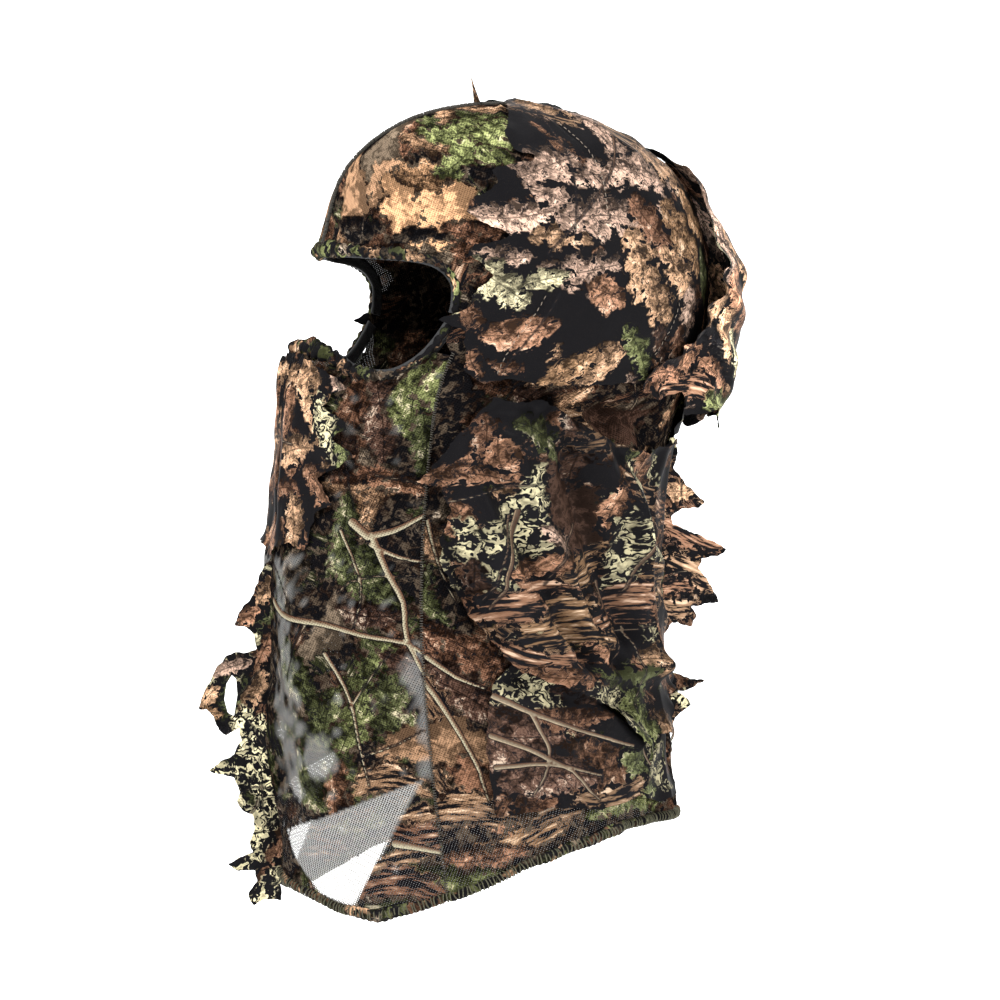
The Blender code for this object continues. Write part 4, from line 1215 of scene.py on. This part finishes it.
SHOULDER_LEAF = (
    (81.5, 418), (80.5, 400), (80, 385), (82, 366), (84, 350), (92, 338), (104, 345), (116, 350), (130, 365),
    (141, 360), (153, 350), (156, 372), (153, 390), (156, 416), (140, 418), (127, 413), (112, 417), (98, 414),
)
BACK_FLAP = (
    (180, 82), (171, 78), (166, 64), (162, 80), (155, 92), (152, 104), (148, 112), (150, 124), (153, 134),
    (147, 142), (144, 152), (140, 158), (139, 166), (142, 173), (136, 177), (130, 182), (123, 192), (124, 200),
    (131, 204), (139, 199), (143, 206), (149, 211), (157, 202), (163, 206), (169, 213), (174, 205), (180, 207),
)
CHIN_PANEL = (
    (0, 180), (12, 181), (22, 186), (32, 192), (39, 199), (33, 204), (31, 209), (38, 215), (41, 221), (35, 225),
    (40, 230), (45, 234), (38, 240), (31, 246), (34, 252), (38, 259), (31, 264), (29, 272), (27, 284),
    (20, 280), (12, 283), (6, 289), (0, 284),
)
NAPE_LEAF = (
    (180, 196), (164, 198), (154, 208), (158, 216), (155, 224), (164, 222), (171, 226), (180, 232),
)
FRONT_STRIP = (
    (1.0, 288), (4, 292), (7, 300), (9, 308), (17, 318), (19, 323), (13, 324), (9, 329), (8, 336), (12, 337),
    (20, 337), (25, 339), (30, 344), (34, 351), (38, 358), (39, 363), (34, 364), (29, 369), (26, 375),
    (22, 379),
    (18, 376), (15, 375), (14, 382), (18, 389), (26, 392), (33, 395), (27, 398), (20, 400), (19, 408),
    (22, 412),
    (19, 418), (15, 420), (15, 428), (19, 434), (17, 440), (24, 442), (31, 444), (24, 449), (15, 450),
    (13, 456),
    (18, 462), (15, 469), (9, 466), (1.0, 468),
)
FRONT_HOLE = ((21.5, 348), (24, 352), (24.5, 360), (22, 367), (18.5, 369), (17.5, 358), (19, 350))
SPINE_STRIP = (
    (1.0, 222), (8, 226), (13, 233), (13, 242), (22, 250), (36, 260), (32, 264), (21, 265), (16, 270),
    (18, 275),
    (30, 279), (41, 284), (49, 289), (43, 293), (33, 294), (31, 300), (37, 308), (43, 316), (45, 322),
    (36, 322),
    (28, 323), (31, 328), (28, 334), (15, 330), (10, 336), (9, 344), (10, 352), (13, 358), (21, 362), (28, 364),
    (19, 367), (13, 368), (17, 372), (19, 376), (10, 381), (6, 390), (7, 400), (1.0, 410),
)
TONGUE = ((-3, 0), (-4, 4), (-3.5, 8), (-1.5, 11), (0, 14), (2, 11.5), (3.5, 8.5), (4, 4.5), (3, 0))


def hood_outline():
    """The left half of the knit hood, from the brow round the eye corner, down the veil seam and back up."""
    corner = [(60, 158.5), (60, 165), (61.5, 174), (64.5, 180)]
    seam = [(VEIL_SEAM, f) for f in range(190, int(hem_fall(VEIL_SEAM)), 10)]
    hem = [(a, float(hem_fall(a))) for a in range(65, 181, 5)]
    back = [(180, f) for f in range(424, 0, -12)]
    front = [(0, f) for f in range(0, 124, 12)]
    return [*BROW_LINE, *corner, *seam, *hem, *back, *front]


def veil_outline():
    top = both_sides(NOSE_LINE[:-1])
    hem = [(a, float(hem_fall(a))) for a in range(-65, 66, 5)]
    edge = [(VEIL_SEAM, f) for f in range(int(hem_fall(VEIL_SEAM)) - 6, 184, -12)]
    return [*hem, *edge, (VEIL_SEAM, 181), *top, (-VEIL_SEAM, 181), *[(-a, f) for a, f in reversed(edge)]]


# ---------------------------------------------------------------- build

STEP_BASE = 1.55
STEP_LEAF = 1.15

satin = printed("printed_satin", net=False)
knit = printed("printed_knit_net", net=True)
elastic = plain("black_elastic", (0.012, 0.012, 0.013), 0.6, 1400.0)
thread_tan = plain("tan_thread", (0.20, 0.16, 0.12), 0.6, 1600.0, 0.25)
thread_dark = plain("dark_thread", (0.035, 0.03, 0.022), 0.7, 1600.0, 0.4)
thread_moss = plain("moss_thread", (0.055, 0.052, 0.026), 0.7, 1600.0, 0.5)

# The side away from the camera takes longer steps between its points.
FAR_STEP = 1.35


def on_veil(obj):
    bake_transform(obj)


def attach(obj, node, body="hood"):
    """Hangs a piece on the body it moves with, or bakes it in place for the veil, and hides the solid it stands
    for.
    """
    if body == "veil":
        on_veil(obj)
    else:
        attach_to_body(obj, body)
    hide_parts(node)


def finish_sheet(made, node, body=None):
    obj, u, v, faces = made
    if body:
        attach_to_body(obj, body)
    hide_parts(node)
    declare(obj, u, v, faces)
    return obj


def neck_lift(angle, fall):
    return TOP_LIFT + 3.0 * np.clip((174 - np.abs(angle)) / 100, 0, 1)


for side, sign in (("left", 1), ("right", -1)):
    turn = list if sign > 0 else mirrored
    far = FAR_STEP if sign < 0 else 1.0
    made = cloth(
        f"cloth_hood_{side}", turn(hood_outline()), 90 * sign, STEP_BASE * far, KNIT_LIFT, paint_hood(sign), knit,
    )
    finish_sheet(made, f"hood_{side}", "hood")
    made = cloth(
        f"cloth_side_leaf_{side}", turn(SIDE_LEAF), 100 * sign, STEP_LEAF * far, LEAF_LIFT, paint_side(sign), satin,
        seed=5, amount=0.7, curl=1.6,
    )
    finish_sheet(made, f"side_leaf_{side}", "hood")
    made = cloth(
        f"cloth_shoulder_leaf_{side}", turn(SHOULDER_LEAF), 110 * sign, STEP_LEAF * far, LEAF_LIFT,
        paint_shoulder(sign), satin, seed=8, amount=0.6, curl=1.6,
    )
    finish_sheet(made, f"shoulder_leaf_{side}", "hood")
    made = cloth(
        f"cloth_neck_leaf_{side}", turn(NECK_LEAF), 115 * sign, STEP_LEAF * far, neck_lift, paint_neck(sign), satin,
        seed=11, amount=1.0, curl=3.0, flutter=1.6,
    )
    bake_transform(made[0])
    finish_sheet(made, f"neck_leaf_{side}")


# Where the flap starts to leave the head, the fall it takes and its half width in degrees.
FLAP_TOP, FLAP_RISE, FLAP_SPREAD = 78, 72, 36


def flap_lift(angle, fall):
    share = np.clip((fall - FLAP_TOP) / FLAP_RISE, 0, 1)
    middle = np.cos(np.radians(90 * np.minimum(np.abs(angle - 180) / FLAP_SPREAD, 1)))
    ripple = (2.0 * np.sin(fall / 9 + angle / 14) + 1.2 * np.sin(fall / 4.5 - angle / 5)) * share
    return FLAP_LIFT + FLAP_STAND * share * (0.1 + 0.9 * middle) + ripple


made = cloth("cloth_back_flap", both_sides(BACK_FLAP, 180)[:-1], 180, STEP_LEAF * 1.1, flap_lift, paint_flap, satin,
             seed=14, amount=1.2, curl=3.5, flutter=2.0)
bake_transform(made[0])
finish_sheet(made, "back_flap")
made = cloth("cloth_nape_leaf", both_sides(NAPE_LEAF, 180)[:-1], 180, STEP_LEAF, TOP_LIFT, paint_small, satin,
             seed=17, amount=0.8, curl=2.5)
finish_sheet(made, "nape_leaf", "hood")
made = cloth("cloth_veil", veil_outline(), 0, STEP_BASE, KNIT_LIFT, paint_veil, knit)
on_veil(made[0])
finish_sheet(made, "face_veil", None)
made = cloth("cloth_chin_panel", both_sides(CHIN_PANEL)[:-1], 0, STEP_LEAF, LEAF_LIFT, paint_chin, satin,
             seed=20, amount=1.0, curl=2.4)
on_veil(made[0])
finish_sheet(made, "chin_panel", None)


def front_sway(u, v):
    lean = np.clip(u / 20, 0, 2)
    return lean * (2.5 * np.sin(v / 13) + 3.0 * np.sin(v / 31 + 1)) + 6 * np.clip((u - 24) / 18, 0, 1) ** 2


def spine_sway(u, v):
    lean = np.clip(u / 20, 0, 2)
    return lean * (3.0 * np.sin(v / 12 + 2) + 3.0 * np.sin(v / 27))


made = strip("cloth_front_strip", FRONT_STRIP, 0, STEP_LEAF, front_sway, paint_strip, satin, 23, 0.6, [FRONT_HOLE])
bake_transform(made[0])
finish_sheet(made, "front_strip", None)
made = strip("cloth_spine_strip", SPINE_STRIP, 180, STEP_LEAF, spine_sway, paint_spine, satin, 26, 0.7)
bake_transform(made[0])
finish_sheet(made, "spine_strip")

# The tongue knotted on top of the crown.
loop = leaf_cut(np.array(TONGUE, float), 0.6, 29, 0.3)
flat, faces = fill(loop, 0.7)
root = on_hood(np.array([0.0]), np.array([11.0]), np.array([1.8]))[0]
tongue = np.stack([
    flat[:, 0] / 1000 * np.cos(flat[:, 1] / 14),
    -flat[:, 1] / 1000 * 0.25 + 0.0012 * np.sin(flat[:, 0] * 0.8) - flat[:, 0] / 1000 * np.sin(flat[:, 1] / 14),
    flat[:, 1] / 1000,
], 1) + root
tongue_obj = finished("cloth_tongue", tongue, faces, satin)
picture = Print(flat[:, 0], flat[:, 1])
picture.scatter(97, 8, ("rust", "tan"), (12, 30))
picture.gain *= 1.6
picture.write(tongue_obj.data)
finish_sheet((tongue_obj, flat[:, 0], flat[:, 1], faces), "crown_tongue", "hood")

# Gathered edges, elastics, hems and seams.
knit_edge = printed("printed_edge", net=False)
brow = roll("roll_brow", both_sides(BROW_LINE), 2.6, knit_edge, 1.25, 0.22, 4.2, 1, profile=at_corners)
attach(brow, "brow_binding")
nose = roll("roll_nose", both_sides(NOSE_LINE), 2.7, knit_edge, 1.25, 0.30, 5.0, 2, profile=at_corners)
attach(nose, "nose_binding", "veil")
for edge, line, body in (("brow", BROW_LINE, "hood"), ("nose", NOSE_LINE, "veil")):
    piece = band(f"band_{edge}", both_sides(line), -3.4, 6.5, elastic)
    attach(piece, f"{edge}_elastic", body)

hood_hem_line = [(a, float(hem_fall(a))) for a in range(65, 296, 5)]
veil_hem_line = [(a, float(hem_fall(a))) for a in range(-65, 66, 5)]
for body, line in (("hood", hood_hem_line), ("veil", veil_hem_line)):
    name = f"roll_{body}_hem"
    piece = roll(name, line, 1.7, knit_edge, 1.5, 0.12, 3.2, 3)
    angle, fall = smooth(line, 2.0).T
    points = on_hood(angle, fall, 0.4 + relief(angle, fall))
    rings = stitched(name + "_overlock", points, thread_moss, 0.0021, thread=0.00035, loop=0.0024, seed=7)
    for made in (piece, rings):
        attach(made, f"{body}_hem", body)

crown_line = [(0, f) for f in range(121, 1, -8)] + [(180, f) for f in range(1, 427, 10)]
a, f = np.array(crown_line, float).T
points = on_hood(a, np.maximum(f, 0.5), 1.1 + relief(a, f))
ridge = stitched("crown_ridge", points, thread_dark, 0.0011, thread=0.00055, loop=0.0009, seed=9)
attach(ridge, "crown_seam")
for side, sign in (("left", 1), ("right", -1)):
    falls = np.arange(180, float(hem_fall(VEIL_SEAM)), 3.0)
    a = np.full(len(falls), VEIL_SEAM * sign)
    points = on_hood(a, falls, 0.6 + relief(a, falls))
    seam = stitched(f"veil_seam_{side}_thread", points, thread_dark, 0.0013, thread=0.0003, loop=0.0007)
    attach(seam, f"veil_seam_{side}")
    for number, line in enumerate(STITCH_LINES, 1):
        angle, fall = smooth([(x * sign, y) for x, y in line], 2.0).T
        points = on_hood(angle, fall, LEAF_LIFT + 0.9 + relief(angle, fall))
        row = stitched(f"stitches_{side}_{number}", points, thread_tan, 0.0032, 0.0022, 0.00022)
        attach(row, f"stitching_{side}_{number}")

# ---------------------------------------------------------------- stage, light and camera

def studio_white():
    m = Nodes("studio_white")
    shader = m.add("ShaderNodeBsdfPrincipled")
    shader.inputs["Base Color"].default_value = (1.0, 1.0, 1.0, 1.0)
    shader.inputs["Roughness"].default_value = 1.0
    shader.inputs["Specular IOR Level"].default_value = 0.0
    shader.inputs["Emission Color"].default_value = (1.0, 1.0, 1.0, 1.0)
    shader.inputs["Emission Strength"].default_value = 0.58
    return m.out(shader.outputs[0])


AZIMUTH, ELEVATION, DISTANCE = math.radians(70), math.radians(3), 1.8
TARGET = Vector((0, -0.0005, -0.2078))
back = Vector((
    math.sin(AZIMUTH) * math.cos(ELEVATION), -math.cos(AZIMUTH) * math.cos(ELEVATION), math.sin(ELEVATION),
))
white = studio_white()


def studio_card(name, corners):
    mesh = bpy.data.meshes.new(name)
    mesh.from_pydata([tuple(c) for c in corners], [], [(0, 1, 2, 3)])
    mesh.materials.append(white)
    card = bpy.data.objects.new(name, mesh)
    bpy.context.scene.collection.objects.link(card)


# The floor's height and half size, and the backdrop's half width, top and distance, in metres.
FLOOR, REACH = -0.475, 3.0
BACKDROP, BACKDROP_BEHIND = 2.5, 2.2
studio_card("studio_floor", [(x * REACH, y * REACH, FLOOR) for x, y in ((-1, -1), (1, -1), (1, 1), (-1, 1))])
across = Vector((0, 0, 1)).cross(back).normalized()
behind = TARGET - back * BACKDROP_BEHIND
left, right = behind - across * BACKDROP, behind + across * BACKDROP
studio_card("studio_backdrop", [
    Vector((p.x, p.y, z)) for p, z in ((left, FLOOR), (right, FLOOR), (right, BACKDROP), (left, BACKDROP))
])

world = bpy.data.worlds.new("studio")
bpy.context.scene.world = world
world.use_nodes = True
world.node_tree.nodes["Background"].inputs["Color"].default_value = (1.0, 1.0, 1.0, 1.0)
world.node_tree.nodes["Background"].inputs["Strength"].default_value = 0.42


def softbox(name, place, aim, size, power):
    data = bpy.data.lights.new(name, "AREA")
    data.size, data.energy = size, power
    light = bpy.data.objects.new(name, data)
    light.location = place
    light.rotation_euler = (Vector(aim) - Vector(place)).to_track_quat("-Z", "Y").to_euler()
    bpy.context.scene.collection.objects.link(light)


softbox("key", (0.7, -1.5, 1.2), TARGET, 0.6, 54)
softbox("fill", (1.4, 1.3, 0.5), TARGET, 0.9, 30)
softbox("top", (0.1, 0.3, 1.6), TARGET, 0.9, 18)

camera_data = bpy.data.cameras.new("camera")
camera_data.lens = 122.3
camera = bpy.data.objects.new("camera", camera_data)
camera.location = TARGET + back * DISTANCE
camera.rotation_euler = (-back).to_track_quat("-Z", "Y").to_euler()
bpy.context.scene.collection.objects.link(camera)
bpy.context.scene.camera = camera
bpy.context.scene.view_settings.view_transform = "Standard"
